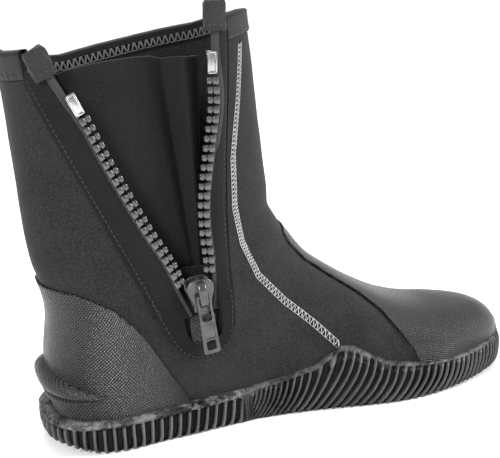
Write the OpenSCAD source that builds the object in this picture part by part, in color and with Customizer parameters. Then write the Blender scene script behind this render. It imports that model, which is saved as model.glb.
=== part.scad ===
// Left neoprene dive boot with an inner-side zip, standing on its sole with the zip open.
// X runs to the toe, Y to the outer (little toe) side, Z up; the zip is on the -Y side.

/* [Sole] */
// Length of the sole from heel to toe, mm
sole_length = 302; // [287:1:317]
// Thickness of the rubber outsole plate, mm
outsole_thick = 6; // [5:0.5:8]
// Height of the tread bars under the plate, mm
tread_height = 3; // [2:0.5:4]
// Angle the toe end of the sole turns up, degrees
toe_spring = 2.5; // [1:0.5:4]
// Height of the rubber rand at the back of the heel, mm
heel_rand_height = 19; // [16:1:22]
// Height of the peak of the rand beside the arch, mm
rand_peak_height = 40; // [34:1:44]

/* [Upper] */
// Thickness of the neoprene wall, mm
wall_thick = 5; // [3:0.5:6]
// Thickness of the rubber toe cap and heel counter, mm
overlay_thick = 1.5; // [1:0.1:2]
// Height of the band of tape folded over the collar, mm
binding_height = 11; // [8:1:14]

/* [Zip] */
// Lean of the open rear zip edge back from vertical, degrees
rear_open_lean = 25; // [24:0.5:26]
// Lean of the open front zip edge forward from vertical, degrees
front_open_lean = 3.4; // [3:0.2:4.4]
// Teeth on each side of the zip
teeth_count = 21; // [17:1:21]
// Distance from one tooth to the next, mm
tooth_pitch = 5.4; // [5:0.1:5.4]
// Length of the pull tab, mm
tab_length = 36; // [30:1:37]
// Width of the pull tab, mm
tab_width = 10; // [8:0.5:12]

/* [Hidden] */
$fn = 32;

neoprene_colour = [0.20, 0.20, 0.21];
rubber_colour = [0.13, 0.13, 0.14];
overlay_colour = [0.30, 0.30, 0.31];
tape_colour = [0.25, 0.25, 0.26];
tooth_colour = [0.42, 0.42, 0.44];
metal_colour = [0.48, 0.48, 0.50];
thread_colour = [0.62, 0.62, 0.63];

gap = 0.3;                              // clearance between pieces that move apart
length_scale = sole_length / 302;
hinge_x = 60 * length_scale;            // where the sole starts to turn up
plate_top = tread_height + outsole_thick;
sock_floor = plate_top + 3.5;           // top of the midsole, underside of the board

// ---------------------------------------------------------------- curves and grids

function unit(v) = v / norm(v);

// Smooth curve through four neighbouring rows of numbers.
function curve(a, b, c, d, t) =
  0.5 * (2 * b + (c - a) * t + (2 * a - 5 * b + 4 * c - d) * t * t
         + (3 * b - a - 3 * c + d) * t * t * t);

// Row s of a table, s counting from 0 and allowed between rows.
function row(table, s) =
  let (last = len(table) - 1, i = min(max(floor(s), 0), last - 1), t = s - i)
  curve(table[max(i - 1, 0)], table[i], table[i + 1], table[min(i + 2, last)], t);

// Row of a table whose first column, which must rise, equals x.
function row_at(table, x) =
  let (last = len(table) - 1,
       k = [for (i = [0 : last - 1]) if (x >= table[i][0]) i],
       i = len(k) == 0 ? 0 : k[len(k) - 1],
       t = (x - table[i][0]) / (table[i + 1][0] - table[i][0]))
  table[i] + (table[i + 1] - table[i]) * min(max(t, 0), 1);

function grid(rows, cols, f) =
  [for (i = [0 : rows]) [for (j = [0 : cols]) f(i / rows, j / cols)]];

function flat(lists) = [for (l = lists) each l];

// Closed skin round the space between two grids of the same size.
function skin_faces(nr, nc) =
  let (n = nr * nc, at = function(g, i, j) g * n + i * nc + j)
  concat(
    [for (i = [0 : nr - 2], j = [0 : nc - 2], h = [0, 1])
      h == 0 ? [at(0, i, j), at(0, i + 1, j), at(0, i + 1, j + 1)]
             : [at(0, i, j), at(0, i + 1, j + 1), at(0, i, j + 1)]],
    [for (i = [0 : nr - 2], j = [0 : nc - 2], h = [0, 1])
      h == 0 ? [at(1, i, j), at(1, i + 1, j + 1), at(1, i + 1, j)]
             : [at(1, i, j), at(1, i, j + 1), at(1, i + 1, j + 1)]],
    [for (i = [0 : nr - 2], e = [0, nc - 1], h = [0, 1])
      let (a = at(0, i, e), b = at(0, i + 1, e), c = at(1, i + 1, e), d = at(1, i, e),
           f = h == 0 ? [a, c, b] : [a, d, c])
      e == 0 ? f : [f[2], f[1], f[0]]],
    [for (j = [0 : nc - 2], e = [0, nr - 1], h = [0, 1])
      let (a = at(0, e, j), b = at(0, e, j + 1), c = at(1, e, j + 1), d = at(1, e, j),
           f = h == 0 ? [a, b, c] : [a, c, d])
      e == 0 ? f : [f[2], f[1], f[0]]]);

function volume(points, faces) =
  let (v = [for (f = faces) cross(points[f[0]], points[f[1]]) * points[f[2]]])
  v * [for (x = v) 1];

// Solid between an inner and an outer grid of points.
module slab(inner, outer) {
  points = concat(flat(inner), flat(outer));
  faces = skin_faces(len(inner), len(inner[0]));
  outward = volume(points, faces) < 0;
  polyhedron(points, outward ? faces : [for (f = faces) [f[2], f[1], f[0]]]);
}

// ---------------------------------------------------------------- shape of the sock

// Sections of the sock from the toe, round the heel, to the collar: front point x and z,
// back point x and z, inner and outer half widths, roundness at the back and at the front.
sections = [
  [147.5, 24.4, 147.5, 23.4, 0.5, 0.5, 2.4, 2.2],
  [145.6, 32.0, 145.6, 19.6, 12.0, 12.0, 2.8, 2.2],
  [141.3, 37.6, 141.3, 17.8, 19.5, 18.5, 4.0, 2.2],
  [131.3, 42.0, 131.3, 16.8, 27.5, 26.0, 4.6, 2.2],
  [115.0, 44.8, 114.0, 15.6, 36.0, 36.0, 5.0, 2.2],
  [95.0, 47.0, 93.0, 14.2, 42.5, 44.3, 5.2, 2.2],
  [74.0, 54.0, 68.0, 12.7, 43.9, 48.7, 5.2, 2.2],
  [52.0, 66.0, 40.0, 12.6, 40.7, 49.6, 5.2, 2.2],
  [33.0, 79.0, 11.0, 12.6, 35.7, 46.3, 5.0, 2.2],
  [18.0, 91.0, -20.0, 12.6, 31.9, 43.6, 5.0, 2.3],
  [7.0, 105.0, -60.0, 12.6, 34.4, 41.2, 5.0, 2.3],
  [-1.0, 118.0, -116.0, 12.6, 42.0, 38.8, 4.6, 2.3],
  [-5.0, 131.0, -142.6, 18.5, 41.8, 37.8, 3.1, 2.3],
  [-6.5, 144.0, -145.6, 49.0, 41.0, 38.2, 2.6, 2.3],
  [-7.8, 158.0, -142.4, 81.0, 40.6, 39.0, 2.4, 2.3],
  [-8.7, 173.0, -149.6, 111.0, 40.6, 40.5, 2.3, 2.3],
  [-9.8, 188.0, -152.2, 141.0, 41.0, 42.0, 2.3, 2.3],
  [-11.0, 204.0, -153.4, 170.0, 42.0, 43.0, 2.3, 2.3],
  [-12.3, 221.0, -154.8, 195.0, 42.8, 43.5, 2.3, 2.3],
  [-14.0, 239.0, -156.5, 215.0, 43.2, 44.0, 2.3, 2.3],
  [-15.5, 262.0, -160.0, 238.0, 44.0, 44.5, 2.3, 2.3]
];
collar_s = 19;                          // section at the collar edge
heel_s = 12;                            // first section whose back point is on the heel

inner_side = -1;
outer_side = 1;

// Point of the sock: section s, t from 0 at the back or sole to 1 at the front,
// g millimetres outside the neoprene's outer face.
function sock(s, t, side, g) =
  let (r = row(sections, s), front = [r[0], r[1]], back = [r[2], r[3]],
       k = sin(90 * min(s / 4, 1)), half = norm(front - back) / 2, e = unit(front - back),
       q = cos(180 * t), p = q > 0 ? r[6] : r[7],
       wide = max((side < 0 ? r[4] : r[5]) + g * k, 0.2),
       c = (front + back) / 2 - e * q * max(half + g * k, 0.2))
  [length_scale * (c[0] + g * sqrt(1 - k * k)),
   side * wide * pow(max(1 - pow(abs(q), p), 0), 1 / p), c[1]];

fine_step = 0.25;
fine = [for (s = [4 : fine_step : collar_s + 1]) row(sections, s)];

function above(r, p) = (r[0] - r[2]) * (p[1] - r[3]) - (r[1] - r[3]) * (p[0] - r[2]);

// Section through the point p = [x, z] of the side view.
function section_at(p) =
  [for (i = [0 : len(fine) - 2])
    let (a = above(fine[i], p), b = above(fine[i + 1], p))
    if (a > 0 && b <= 0) 4 + fine_step * (i + a / (a - b))][0];

// Point of the side wall over p = [x, z], g outside the neoprene's outer face.
function wall(p, side, g) =
  let (r = row(sections, section_at(p)), front = [r[0], r[1]], back = [r[2], r[3]],
       half = norm(front - back) / 2, e = unit(front - back),
       q = -((p - (front + back) / 2) * e) / (half + g), n = q > 0 ? r[6] : r[7])
  [length_scale * p[0],
   side * ((side < 0 ? r[4] : r[5]) + g) * pow(max(1 - pow(abs(q), n), 0), 1 / n), p[1]];

// t at which section s crosses the polyline of [x, z] points.
function t_cross(s, line) =
  let (r = row(sections, s), back = [r[2], r[3]], d = [r[0], r[1]] - back,
       hits = [for (i = [0 : len(line) - 2])
         let (e = line[i + 1] - line[i], f = line[i] - back, c = cross(d, e),
              u = cross(f, e) / c, v = cross(f, d) / c)
         if (v >= -0.02 && v <= 1.02 && u > 0 && u < 1) u])
  acos(1 - 2 * hits[0]) / 180;

// t at height z on section s.
function t_height(s, z) =
  let (r = row(sections, s), u = (z - r[3]) / (r[1] - r[3]))
  acos(1 - 2 * min(max(u, 0.002), 0.98)) / 180;

// ---------------------------------------------------------------- sole

// Plan of the sole: x, half width on the inner side, half width on the outer side.
sole_plan = [
  [-150, 0, 0], [-148.8, 13.5, 12], [-145.5, 23, 20], [-138.5, 33, 28.5], [-127, 40, 35],
  [-110, 42.6, 38.8], [-80, 39.4, 40.5], [-50, 36.4, 42.8], [-20, 34.6, 45.8], [10, 38.4, 49.8],
  [40, 44.8, 53.6], [68, 48.4, 53.2], [92, 46.6, 48.8], [115, 40, 40.6], [133.5, 30.8, 30.2],
  [145, 20.2, 19.5], [150.8, 10, 10], [152.5, 0, 0]
];
function plan(i) = let (r = row(sole_plan, i)) [length_scale * r[0], max(r[1], 0), max(r[2], 0)];
plan_last = len(sole_plan) - 1;
// Outline from the toe back along the inner side, round the heel, forward on the outer side.
plan_step = 0.5;
outline = concat(
  [for (i = [plan_last : -plan_step : 0]) [plan(i)[0], -plan(i)[1]]],
  [for (i = [plan_step : plan_step : plan_last - plan_step]) [plan(i)[0], plan(i)[2]]]);

function spring(x) = max(x - hinge_x, 0) * tan(toe_spring);

// Outline with its width and length reduced by d on every side.
function inset(d) = [for (p = outline)
  [p[0] * (1 - d / (sole_length / 2)), p[1] * (1 - d / 44)]];

sole_end = 170;

// Side view of a layer of the sole: level behind the hinge line, turned up ahead of it.
module layer_profile(z, thick) {
  rise = spring(sole_end);
  rotate([90, 0, 0]) translate([0, 0, -80]) linear_extrude(160) polygon([
    [-sole_end, z], [hinge_x, z], [sole_end, z + rise], [sole_end, z + rise + thick],
    [hinge_x, z + thick], [-sole_end, z + thick]]);
}

module sole_layer(d, z, thick) {
  intersection() {
    linear_extrude(60) polygon(inset(d));
    layer_profile(z, thick);
  }
}

bar_pitch = 13;
bar_width = 7.5;
bar_overlap = 0.6;
plate_inset = 4;                        // the rand stands outside the plate
arch_x = -32;                           // the tread is bare round the waist of the sole
arch_half = 16;

// Cross bars of the tread, cut to the outline and set into the plate.
module tread_bars() {
  intersection() {
    linear_extrude(60) intersection() {
      polygon(inset(plate_inset + 1.5));
      for (x = [-130 : bar_pitch : 146])
        if (abs(x - arch_x) > arch_half)
          translate([x * length_scale - bar_width / 2, -70]) square([bar_width, 140]);
    }
    layer_profile(0, tread_height + bar_overlap);
  }
}

module outsole() color(rubber_colour) {
  union() {
    sole_layer(plate_inset, tread_height, outsole_thick);
    tread_bars();
  }
}

module midsole() color(rubber_colour)
  sole_layer(6.5, plate_top + 0.02, sock_floor - plate_top - 0.04);

board_thick = 2;
module insole_board() color(tape_colour) sole_layer(12.5, sock_floor + 0.2, board_thick);

module footbed() color(neoprene_colour)
  sole_layer(14, sock_floor + board_thick + 0.4, 4);

// Height of the rand above the ground at x on either side.
rand_top = [
  [-150, heel_rand_height], [-60, heel_rand_height + 0.5], [-35, heel_rand_height + 1.5],
  [-12, heel_rand_height + 4], [10, 0.72 * rand_peak_height], [26, rand_peak_height],
  [34, rand_peak_height - 1], [55, 27], [80, 22], [110, 19.2],
  [152.5, 19]
];
block_x = -34 * length_scale;           // plain block where the two rands meet
rand_reach = 2.6;                       // rubber inside the outline at the bottom
rand_bottom = 0.4;                      // height of the rand above the ground
rand_lean = 0.7;                        // lean of the rand toward the upper

function outline_at(c) = let (n = len(outline), i = floor(c * n) % n, f = c * n - floor(c * n))
  outline[i] * (1 - f) + outline[(i + 1) % n] * f;
function outline_out(c) = let (a = outline_at((c + 0.994) % 1), b = outline_at((c + 0.006) % 1),
  d = unit(b - a)) [-d[1], d[0]];

// Wall of rubber standing on the outline from c0 to c1, i rows up and j steps along.
module rand_wall(c0, c1, steps) {
  rows = 4;
  face = function(outside) grid(steps, rows, function(a, b)
    let (c = (c0 + (c1 - c0) * a + 2) % 1, p = outline_at(c), n = outline_out(c),
         top = row_at(rand_top, p[0] / length_scale)[1], bulge = outside ? sin(180 * b) * 1.2 : 0,
         q = p + n * (outside ? bulge - rand_lean * b - 0.8 * pow(1 - b, 4)
                          : -rand_reach - rand_lean * b))
    [q[0], q[1], spring(p[0]) + rand_bottom + (top - rand_bottom) * b]);
  slab(face(false), face(true));
}

module heel_rand() color(rubber_colour) rand_wall(heel_from, heel_to, 44);

module forefoot_rand() color(rubber_colour) rand_wall(heel_to + 0.003, 1 + heel_from - 0.003, 56);

// Share of the outline's length list at which x is passed on the chosen side.
function outline_share(x, side) = let (n = len(outline),
  k = [for (i = [0 : n - 2])
    let (a = outline[i], b = outline[i + 1])
    if ((a[0] - x) * (b[0] - x) <= 0 && (side < 0 ? a[1] + b[1] < 0 : a[1] + b[1] > 0))
      (i + (x - a[0]) / (b[0] - a[0])) / n])
  k[0];
heel_from = outline_share(block_x, inner_side);
heel_to = outline_share(block_x, outer_side);

// ---------------------------------------------------------------- zip lines

apex = [-59, 77];                       // side-view point where the two open edges meet
chain_depth = 1.6;                      // the chain's middle plane below the neoprene's face
edge_length = 178;                      // from the apex to the top of each flap
function lean(a) = [sin(a), cos(a)];
rear_dir = lean(-rear_open_lean);
front_dir = lean(front_open_lean);
closed_dir = lean(-6);

apex3 = wall(apex, inner_side, -chain_depth);
rear_top3 = wall(apex + edge_length * rear_dir, inner_side, -chain_depth);
front_top3 = wall(apex + edge_length * front_dir, inner_side, -chain_depth);
closed_top2 = apex + edge_length * closed_dir;
closed_top3 = [length_scale * closed_top2[0], -42, closed_top2[1]];

// Directions of the closed chain: across (to the rear), out of the boot, and up.
chain_up = unit(closed_top3 - apex3);
chain_across = unit(cross([0, -1, 0], chain_up));
chain_out = cross(chain_up, chain_across);

function turn_axis(top3) = unit(cross(top3 - apex3, closed_top3 - apex3));
function turn_angle(top3) = acos(unit(top3 - apex3) * unit(closed_top3 - apex3));
rear_axis = turn_axis(rear_top3);
front_axis = turn_axis(front_top3);
rear_angle = turn_angle(rear_top3);
front_angle = turn_angle(front_top3);

function spin(v, axis, a) =
  v * cos(a) + cross(axis, v) * sin(a) + axis * (axis * v) * (1 - cos(a));

// Directions [across from the chain, out, up] of each flap's own chain with the zip open.
rear_frame = [for (v = [chain_across, chain_out, chain_up]) spin(v, rear_axis, -rear_angle)];
front_frame = [for (v = [-chain_across, chain_out, chain_up]) spin(v, front_axis, -front_angle)];
slider_frame = [chain_across, chain_out, chain_up];

function in_frame(f, p) = apex3 + f[0] * p[0] + f[1] * p[1] + f[2] * p[2];

// Places children drawn with x across, y out and z up; a left-handed frame is mirrored.
module place(f) {
  handed = cross(f[0], f[1]) * f[2] > 0 ? 1 : -1;
  multmatrix([
    [handed * f[0][0], f[1][0], f[2][0], apex3[0]],
    [handed * f[0][1], f[1][1], f[2][1], apex3[1]],
    [handed * f[0][2], f[1][2], f[2][2], apex3[2]]])
    mirror([handed < 0 ? 1 : 0, 0, 0]) children();
}

// Side-view outline of the zip's opening: the long outer edges of the two facings, and both
// of them carried on round the bottom of the U to the lowest section that meets it.
flap_rear_line = [[-88, 81], [-111, 133], [-136, 190], [-145.5, 214], [-151.4, 240]];
flap_front_line = [[-41, 90], [-40.5, 136], [-38.5, 165], [-31, 262]];
facing_rear = concat([[-47, 52], [-59, 48], [-71, 53], [-80, 64]], flap_rear_line);
facing_front = concat([[-47, 52], [-40.5, 64]], flap_front_line);
base_s = section_at(facing_rear[0]);
seam_s = base_s - 1.0;                  // where the seam under the U reaches the sole
// Seam between the front panel and the sides.
seam_line = [[25, 20], [26, 41], [12, 56], [-6, 73], [-23, 93], [-31.5, 114], [-35, 136],
             [-34, 165], [-29, 195], [-24, 232], [-23, 262]];

// ---------------------------------------------------------------- neoprene panels

seam_gap = 0.012;                       // butt seams, as a share of the way round
seam_foot = section_at(seam_line[0]);   // section where the front seam meets the sole
toe_s = 5;                              // section of the hidden seam under the toe cap
band_s = binding_height / 19;           // height of the collar band in sections

function sole_t(s) = s < heel_s - 1 ? 0.17 : 0.17 * max(heel_s - s, 0);
function ease(a, b, x) = min(max((x - a) / (b - a), 0), 1);

// The collar stands higher at the back and beside the zip than along the outer side.
rear_rise = 0.66;
front_rise = 0.23;
function collar_rise(side, t) =
  side > 0 ? rear_rise * ease(0.35, 0, t) + front_rise * ease(0.75, 1, t)
           : t < 0.4 ? rear_rise : front_rise + 0.13 * ease(1, 0.86, t);
function panel_top(side, t) = collar_s - band_s + collar_rise(side, t);

seam_t = function(s) s < seam_foot ? sole_t(s) : max(t_cross(s, seam_line), sole_t(s) + 0.01);
// Limit of a side panel at the zip: a hidden butt seam up from the sole, then the U.
zip_t = function(s, line) s < seam_s ? sole_t(s)
  : s < base_s ? sole_t(s) + (t_cross(base_s + 0.005, line) - sole_t(s))
                             * (s - seam_s) / (base_s - seam_s)
  : t_cross(max(s, base_s + 0.005), line);
rear_t = function(s) zip_t(s, facing_rear) + 0.002;
front_t = function(s) zip_t(s, facing_front) + 0.006;

// Point of a panel, a of the way up from section s0 and b of the way between its limits.
function panel_point(s0, top, side, low, high, a, b, g) =
  let (s = s0 + (top - s0) * a, t = low(s) + (high(s) - low(s)) * b)
  sock(s, t, side, g);

// Panel on one side from section s0 to the collar.
module side_panel(s0, side, low, high, rows, cols) {
  face = function(g) grid(rows, cols, function(a, b)
    let (t = low(collar_s) + (high(collar_s) - low(collar_s)) * b)
    panel_point(s0, panel_top(side, t), side, low, high, a, b, g));
  slab(face(-wall_thick), face(0));
}

// Panel across the front from the low limit on one side to the same on the other.
module front_loop(s0, s1, low, rows, cols, g_in, g_out) {
  face = function(g) grid(rows, cols, function(a, c)
    panel_point(s0, s1, c < 0.5 ? inner_side : outer_side, low, one, a, 1 - abs(2 * c - 1), g));
  slab(face(g_in), face(g_out));
}

low_sole = function(s) sole_t(s);
one = function(s) 1;                    // the middle of the front

module toe_panel() color(neoprene_colour)
  front_loop(0, toe_s - 0.02, low_sole, 9, 22, -wall_thick, 0);

foot_rows = 4;                          // rows of the front panel ahead of the seam's foot
side_rows = 26;                         // rows it shares with the panels it is sewn to
module front_panel() color(neoprene_colour) {
  face = function(g) grid(foot_rows + side_rows, 22, function(a, c)
    let (side = c < 0.5 ? inner_side : outer_side, b = 1 - abs(2 * c - 1),
         t = seam_t(collar_s) + (1 - seam_t(collar_s)) * b,
         i = a * (foot_rows + side_rows) - foot_rows, foot = seam_foot + 0.05)
    i < 0 ? panel_point(toe_s + 0.02, foot, side, seam_t, one, 1 + i / foot_rows, b, g)
          : panel_point(foot, panel_top(side, t), side, seam_t, one, i / side_rows, b, g));
  slab(face(-wall_thick), face(0));
}

module medial_front_quarter() color(neoprene_colour)
  side_panel(seam_foot + 0.05, inner_side, front_t, function(s) seam_t(s) - seam_gap,
             side_rows, 6);

module medial_rear_quarter() color(neoprene_colour)
  side_panel(seam_s, inner_side, low_sole, rear_t, 24, 9);

module lateral_quarter() color(neoprene_colour)
  side_panel(seam_foot + 0.05, outer_side, low_sole, function(s) seam_t(s) - seam_gap,
             side_rows, 12);

// ---------------------------------------------------------------- rubber overlays

overlay_in = 1.0;                       // rubber overlays stand clear of the facets under them
overlay_out = overlay_in + overlay_thick;
// Side-view edge of the toe cap, from the rand up to the front of the ankle.
cap_line = [[81, 8], [79, 19], [74, 31], [66, 43], [57, 56], [46, 66], [27, 80], [13, 91],
            [3, 103], [-5, 119]];
cap_s = 10.6;
cap_clear = 1.8;                        // from the top of the rand to the toe cap
cap_corner_s = section_at(cap_line[1]);
cap_t = function(s)
  let (r = row(sections, s), rand = row_at(rand_top, r[2])[1] + spring(r[2]) + cap_clear)
  s < cap_corner_s ? t_height(s, rand) : max(t_cross(s, cap_line), t_height(s, rand));

module toe_cap() color(overlay_colour)
  front_loop(0, cap_s, cap_t, 26, 28, overlay_in, overlay_out);

// Side-view edge of the heel counter from the back of the ankle down to the rand.
counter_line = [[-146, 98], [-129, 95], [-112, 86], [-99, 73], [-90, 60], [-83, 47],
                [-75, 33], [-69, heel_rand_height + 3]];
heel_back = [for (s = [11.5 : 0.125 : 16]) let (r = row(sections, s)) [r[3], r[2]]];
counter_x = -69;

// Point round the heel: w from -1 on the inner side through 0 at the back to 1, at height z.
function heel_point(w, z, g) =
  let (r = row_at(heel_back, z), k = 1 - cos(90 * abs(w)),
       x = r[1] + 0.2 + (counter_x - r[1]) * k, back_g = 0.8 * g)
  abs(w) < 0.001 ? [length_scale * (r[1] - back_g), 0, z]
                 : wall([x - back_g * (1 - k), z], w < 0 ? inner_side : outer_side, g);

function counter_top(w) =
  row_at(counter_line, -146 + (counter_x + 146) * (1 - cos(90 * abs(w))))[1];

module heel_counter() color(overlay_colour) {
  low = heel_rand_height + 1;
  face = function(g) grid(8, 24, function(a, c)
    let (w = 2 * c - 1) heel_point(w, low + (counter_top(w) - low) * a, g));
  slab(face(overlay_in), face(overlay_out));
}

ledge_low = 27;
ledge_high = 52;
ledge_mid = (ledge_low + ledge_high) / 2;
ledge_reach = 5.5;
ledge_span = 0.66;

// Moulded ledge across the heel that keeps a fin strap from slipping.
module fin_strap_ledge() color(rubber_colour) {
  face = function(outside) grid(8, 20, function(a, c)
    let (w = ledge_span * (2 * c - 1), taper = pow(cos(90 * abs(2 * c - 1)), 0.7),
         g = overlay_out + 0.35
             + (outside ? 0.8 + ledge_reach * taper * sin(180 * pow(a, 1.3)) : 0))
    heel_point(w, ledge_mid + (ledge_high - ledge_low) * (a - 0.5) * (0.25 + 0.75 * taper)
                  - 4 * abs(2 * c - 1), g));
  slab(face(false), face(true));
}

// ---------------------------------------------------------------- collar and seams

// Round the collar from the rear flap by the back and outer side to the front flap.
function collar_point(c, a, g) =
  let (part = c < 0.25 ? 0 : c < 0.75 ? 1 : 2,
       top_rear = t_cross(collar_s, facing_rear) - 0.005,
       top_front = t_cross(collar_s + 0.5, facing_front) + 0.015,
       side = part == 1 ? outer_side : inner_side,
       t = part == 0 ? top_rear * (1 - 4 * c) : part == 1 ? 2 * c - 0.5
           : 1 - (1 - top_front) * (4 * c - 3),
       s = panel_top(side, t) + 0.01 + (band_s - 0.01) * a)
  sock(s, t, side, g);

binding_wrap = 0.9;
module collar_binding() color(tape_colour) {
  face = function(g) grid(2, 56, function(a, c) collar_point(c, a, g));
  slab(face(-wall_thick - binding_wrap), face(binding_wrap));
}

stitch_thick = 0.6;
stitch_off = 0.4;                       // thread stands clear of the facets under it
// Line of zigzag stitching round the inside of the collar.
module collar_stitch() color(thread_colour) {
  face = function(g) grid(1, 44, function(a, c)
    let (p = 0.04 + 0.92 * c) collar_point(p, 0.34 + 0.22 * a, g));
  top = -wall_thick - binding_wrap - stitch_off;
  slab(face(top - stitch_thick), face(top));
}

seam_width = 5;
seam_from = section_at([26.5, rand_peak_height + 2]);
// Flatlock stitching over the seam between the front panel and a side.
module flatlock(side) {
  face = function(g) grid(34, 1, function(a, b)
    let (top = collar_s - band_s - 0.08 + (side < 0 ? 0.15 : 0),
         s = seam_from + (top - seam_from) * a,
         r = row(sections, s), span = norm([r[0] - r[2], r[1] - r[3]]),
         half = seam_width / span / 3.2)
    sock(s, seam_t(s) + half * (2 * b - 1), side, g));
  slab(face(stitch_off), face(stitch_off + stitch_thick));
}
module seam_medial() color(thread_colour) flatlock(inner_side);
module seam_lateral() color(thread_colour) flatlock(outer_side);

// ---------------------------------------------------------------- zip: fixed pieces

gusset_thick = 2.5;
gusset_low = 58;
gusset_top = 222;
function gusset_y(z) = -29.5 + (z - gusset_low) * 10 / (gusset_top - gusset_low);

// Folded-in sheet that keeps water out behind the open zip.
module zip_gusset() color(neoprene_colour) {
  face = function(back) grid(12, 6, function(a, b)
    let (z = gusset_low + (gusset_top - gusset_low) * a, k = z - apex[1],
         rear = apex[0] - 4 + (k > 0 ? k * tan(-rear_open_lean) * 0.97 : 0.25 * k),
         front = apex[0] + 4 + (k > 0 ? k * tan(front_open_lean) : -0.15 * k))
    [length_scale * (rear + (front - rear) * b), gusset_y(z) + (back ? gusset_thick : 0), z]);
  slab(face(true), face(false));
}

base_in = 0.6;
base_thick = 1.4;
// Inner and outer edges of the U of facing that closes the bottom of the zip.
u_outer = [[-87.6, 79.8], [-80, 64], [-71, 53], [-59, 48], [-47, 52], [-40.7, 64],
           [-40.8, 88.8]];
u_inner = [[-70, 70], [-69, 65], [-65.5, 60], [-59, 58], [-52.5, 60], [-48.8, 65.5],
           [-47.8, 75.6]];

module zip_facing_base() color(neoprene_colour) {
  face = function(g) grid(18, 2, function(a, b)
    let (i = a * (len(u_outer) - 1)) wall(row(u_inner, i) * b + row(u_outer, i) * (1 - b),
                                          inner_side, g));
  slab(face(base_in), face(base_in + base_thick));
}

// Woven patch that joins the two tapes below the slider.
module zip_anchor_patch() color(tape_colour) {
  low = 61;
  face = function(g) grid(3, 3, function(a, b)
    wall([-65 + 12 * b, low + 13 * a], inner_side, g));
  slab(face(-chain_depth - 1.2), face(-chain_depth));
}

module zip_bottom_stop() color(metal_colour) place(slider_frame)
  translate([-3, 0.35, slider_low - 4.5]) cube([6, 2, 4]);

// ---------------------------------------------------------------- zip: moving halves

head_clear = 0.4;                       // from the closed line to the head of a tooth
base_out = 6.2;
tooth_half = 2.1;
first_tooth = 23.5;
tape_from = base_out + 0.05;
tape_to = 9;                            // the facing covers the rest of the tape
tape_half = 0.6;
stop_from = first_tooth + teeth_count * tooth_pitch;
stop_length = 11;
band_from = 161;                        // folded end of the binding on each flap

module tooth() {
  translate([head_clear, -1.5, -1.6]) cube([1.8, 3, 3.2]);
  translate([2, -1.2, -1]) cube([1.2, 2.4, 2]);
  translate([3, -tooth_half, -1.7]) cube([base_out - 3, 2 * tooth_half, 3.4]);
}

module teeth(frame, shift) color(tooth_colour) place(frame)
  for (i = [0 : teeth_count - 1])
    translate([0, 0, first_tooth + shift + i * tooth_pitch]) tooth();

tape_low = 1;
module tape(frame) color(tape_colour) place(frame)
  translate([tape_from, -tape_half, tape_low])
    cube([tape_to - tape_from, 2 * tape_half, band_from - tape_low - 0.2]);

module top_stop(frame, shift) color(metal_colour) place(frame)
  translate([1.9, -tooth_half, stop_from + shift]) cube([4.2, 2 * tooth_half, stop_length]);

edge_room = 2.2;                        // from a facing's outer edge to the panel behind it
// Surface of a flap: k along the chain, w from 0 at the chain to 1 at the facing's edge.
function flap_point(frame, line, k, w) =
  let (in = in_frame(frame, [tape_to + gap, 0, k]),
       z = in[2] + (line[0][1] - apex[1]) * (1 - k / edge_length) * 0.95,
       edge = [for (i = [0 : len(line) - 2])
         let (t = (z - line[i][1]) / (line[i + 1][1] - line[i][1]))
         if (t >= -0.3 && t < 1) line[i] + (line[i + 1] - line[i]) * t],
       out = wall(edge[0] + [frame[0][0] > 0 ? -edge_room / 2 : edge_room, 0], inner_side, -chain_depth))
  in + (out - in) * w;

function flap_lift(frame, line, k, w, g) =
  let (p = flap_point(frame, line, k, w),
       dk = flap_point(frame, line, k + 1, w) - p, dw = flap_point(frame, line, k, w + 0.05) - p,
       n = unit(cross(dk, dw)))
  p + n * g * (n[1] < 0 || (n * frame[1] > 0) ? 1 : -1);

module flap_sheet(frame, line, k0, k1, g0, g1, rows) {
  face = function(g) grid(rows, 4, function(a, b)
    flap_lift(frame, line, k0 + (k1 - k0) * a, 0.02 + 0.96 * b, g));
  slab(face(g0), face(g1));
}

facing_low = 0.9;                       // lift of a facing's inner and outer faces
facing_high = 3.4;
facing_from = 5;                        // along the chain, clear of the U under it
facing_to = band_from - 3;
module rear_facing() color(neoprene_colour)
  flap_sheet(rear_frame, flap_rear_line, facing_from, facing_to, facing_low, facing_high, 16);
module front_facing() color(neoprene_colour)
  flap_sheet(front_frame, flap_front_line, facing_from, facing_to, facing_low, facing_high, 16);

module rear_tape() tape(rear_frame);
module front_tape() tape(front_frame);
module rear_teeth() teeth(rear_frame, 0);
module front_teeth() teeth(front_frame, tooth_pitch / 2);
module rear_top_stop() top_stop(rear_frame, 0);
module front_top_stop() top_stop(front_frame, tooth_pitch / 2);

end_width = 16;
end_half = 3.2;
// Collar tape folded round the top of a flap.
module binding_end(frame) color(tape_colour) place(frame)
  translate([2, -end_half, band_from]) cube([end_width, 2 * end_half, edge_length - band_from]);
module rear_binding_end() binding_end(rear_frame);
module front_binding_end() binding_end(front_frame);

// ---------------------------------------------------------------- slider

slider_half = 7.6;
slider_low = 2;
slider_high = 22;
shoulder_z = slider_high - 6;           // height of the widest part of the plates
plate_gap = 3.05;                       // from the chain's middle plane to each plate
plate_thick = 1.5;

module slider_plate() {
  rotate([90, 0, 0]) linear_extrude(plate_thick) polygon([
    [-5.2, slider_low], [5.2, slider_low], [5.8, shoulder_z - 6], [slider_half, shoulder_z],
    [slider_half, shoulder_z + 4], [5, slider_high], [-5, slider_high],
    [-slider_half, shoulder_z + 4], [-slider_half, shoulder_z], [-5.8, shoulder_z - 6]]);
}

module slider_body() color(metal_colour) place(slider_frame) {
  translate([0, plate_gap + plate_thick, 0]) slider_plate();
  translate([0, -plate_gap, 0]) slider_plate();
  translate([-1.1, -plate_gap - 0.2, slider_high - 3.2]) cube([2.2, 2 * plate_gap + 0.4, 3]);
}

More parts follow.
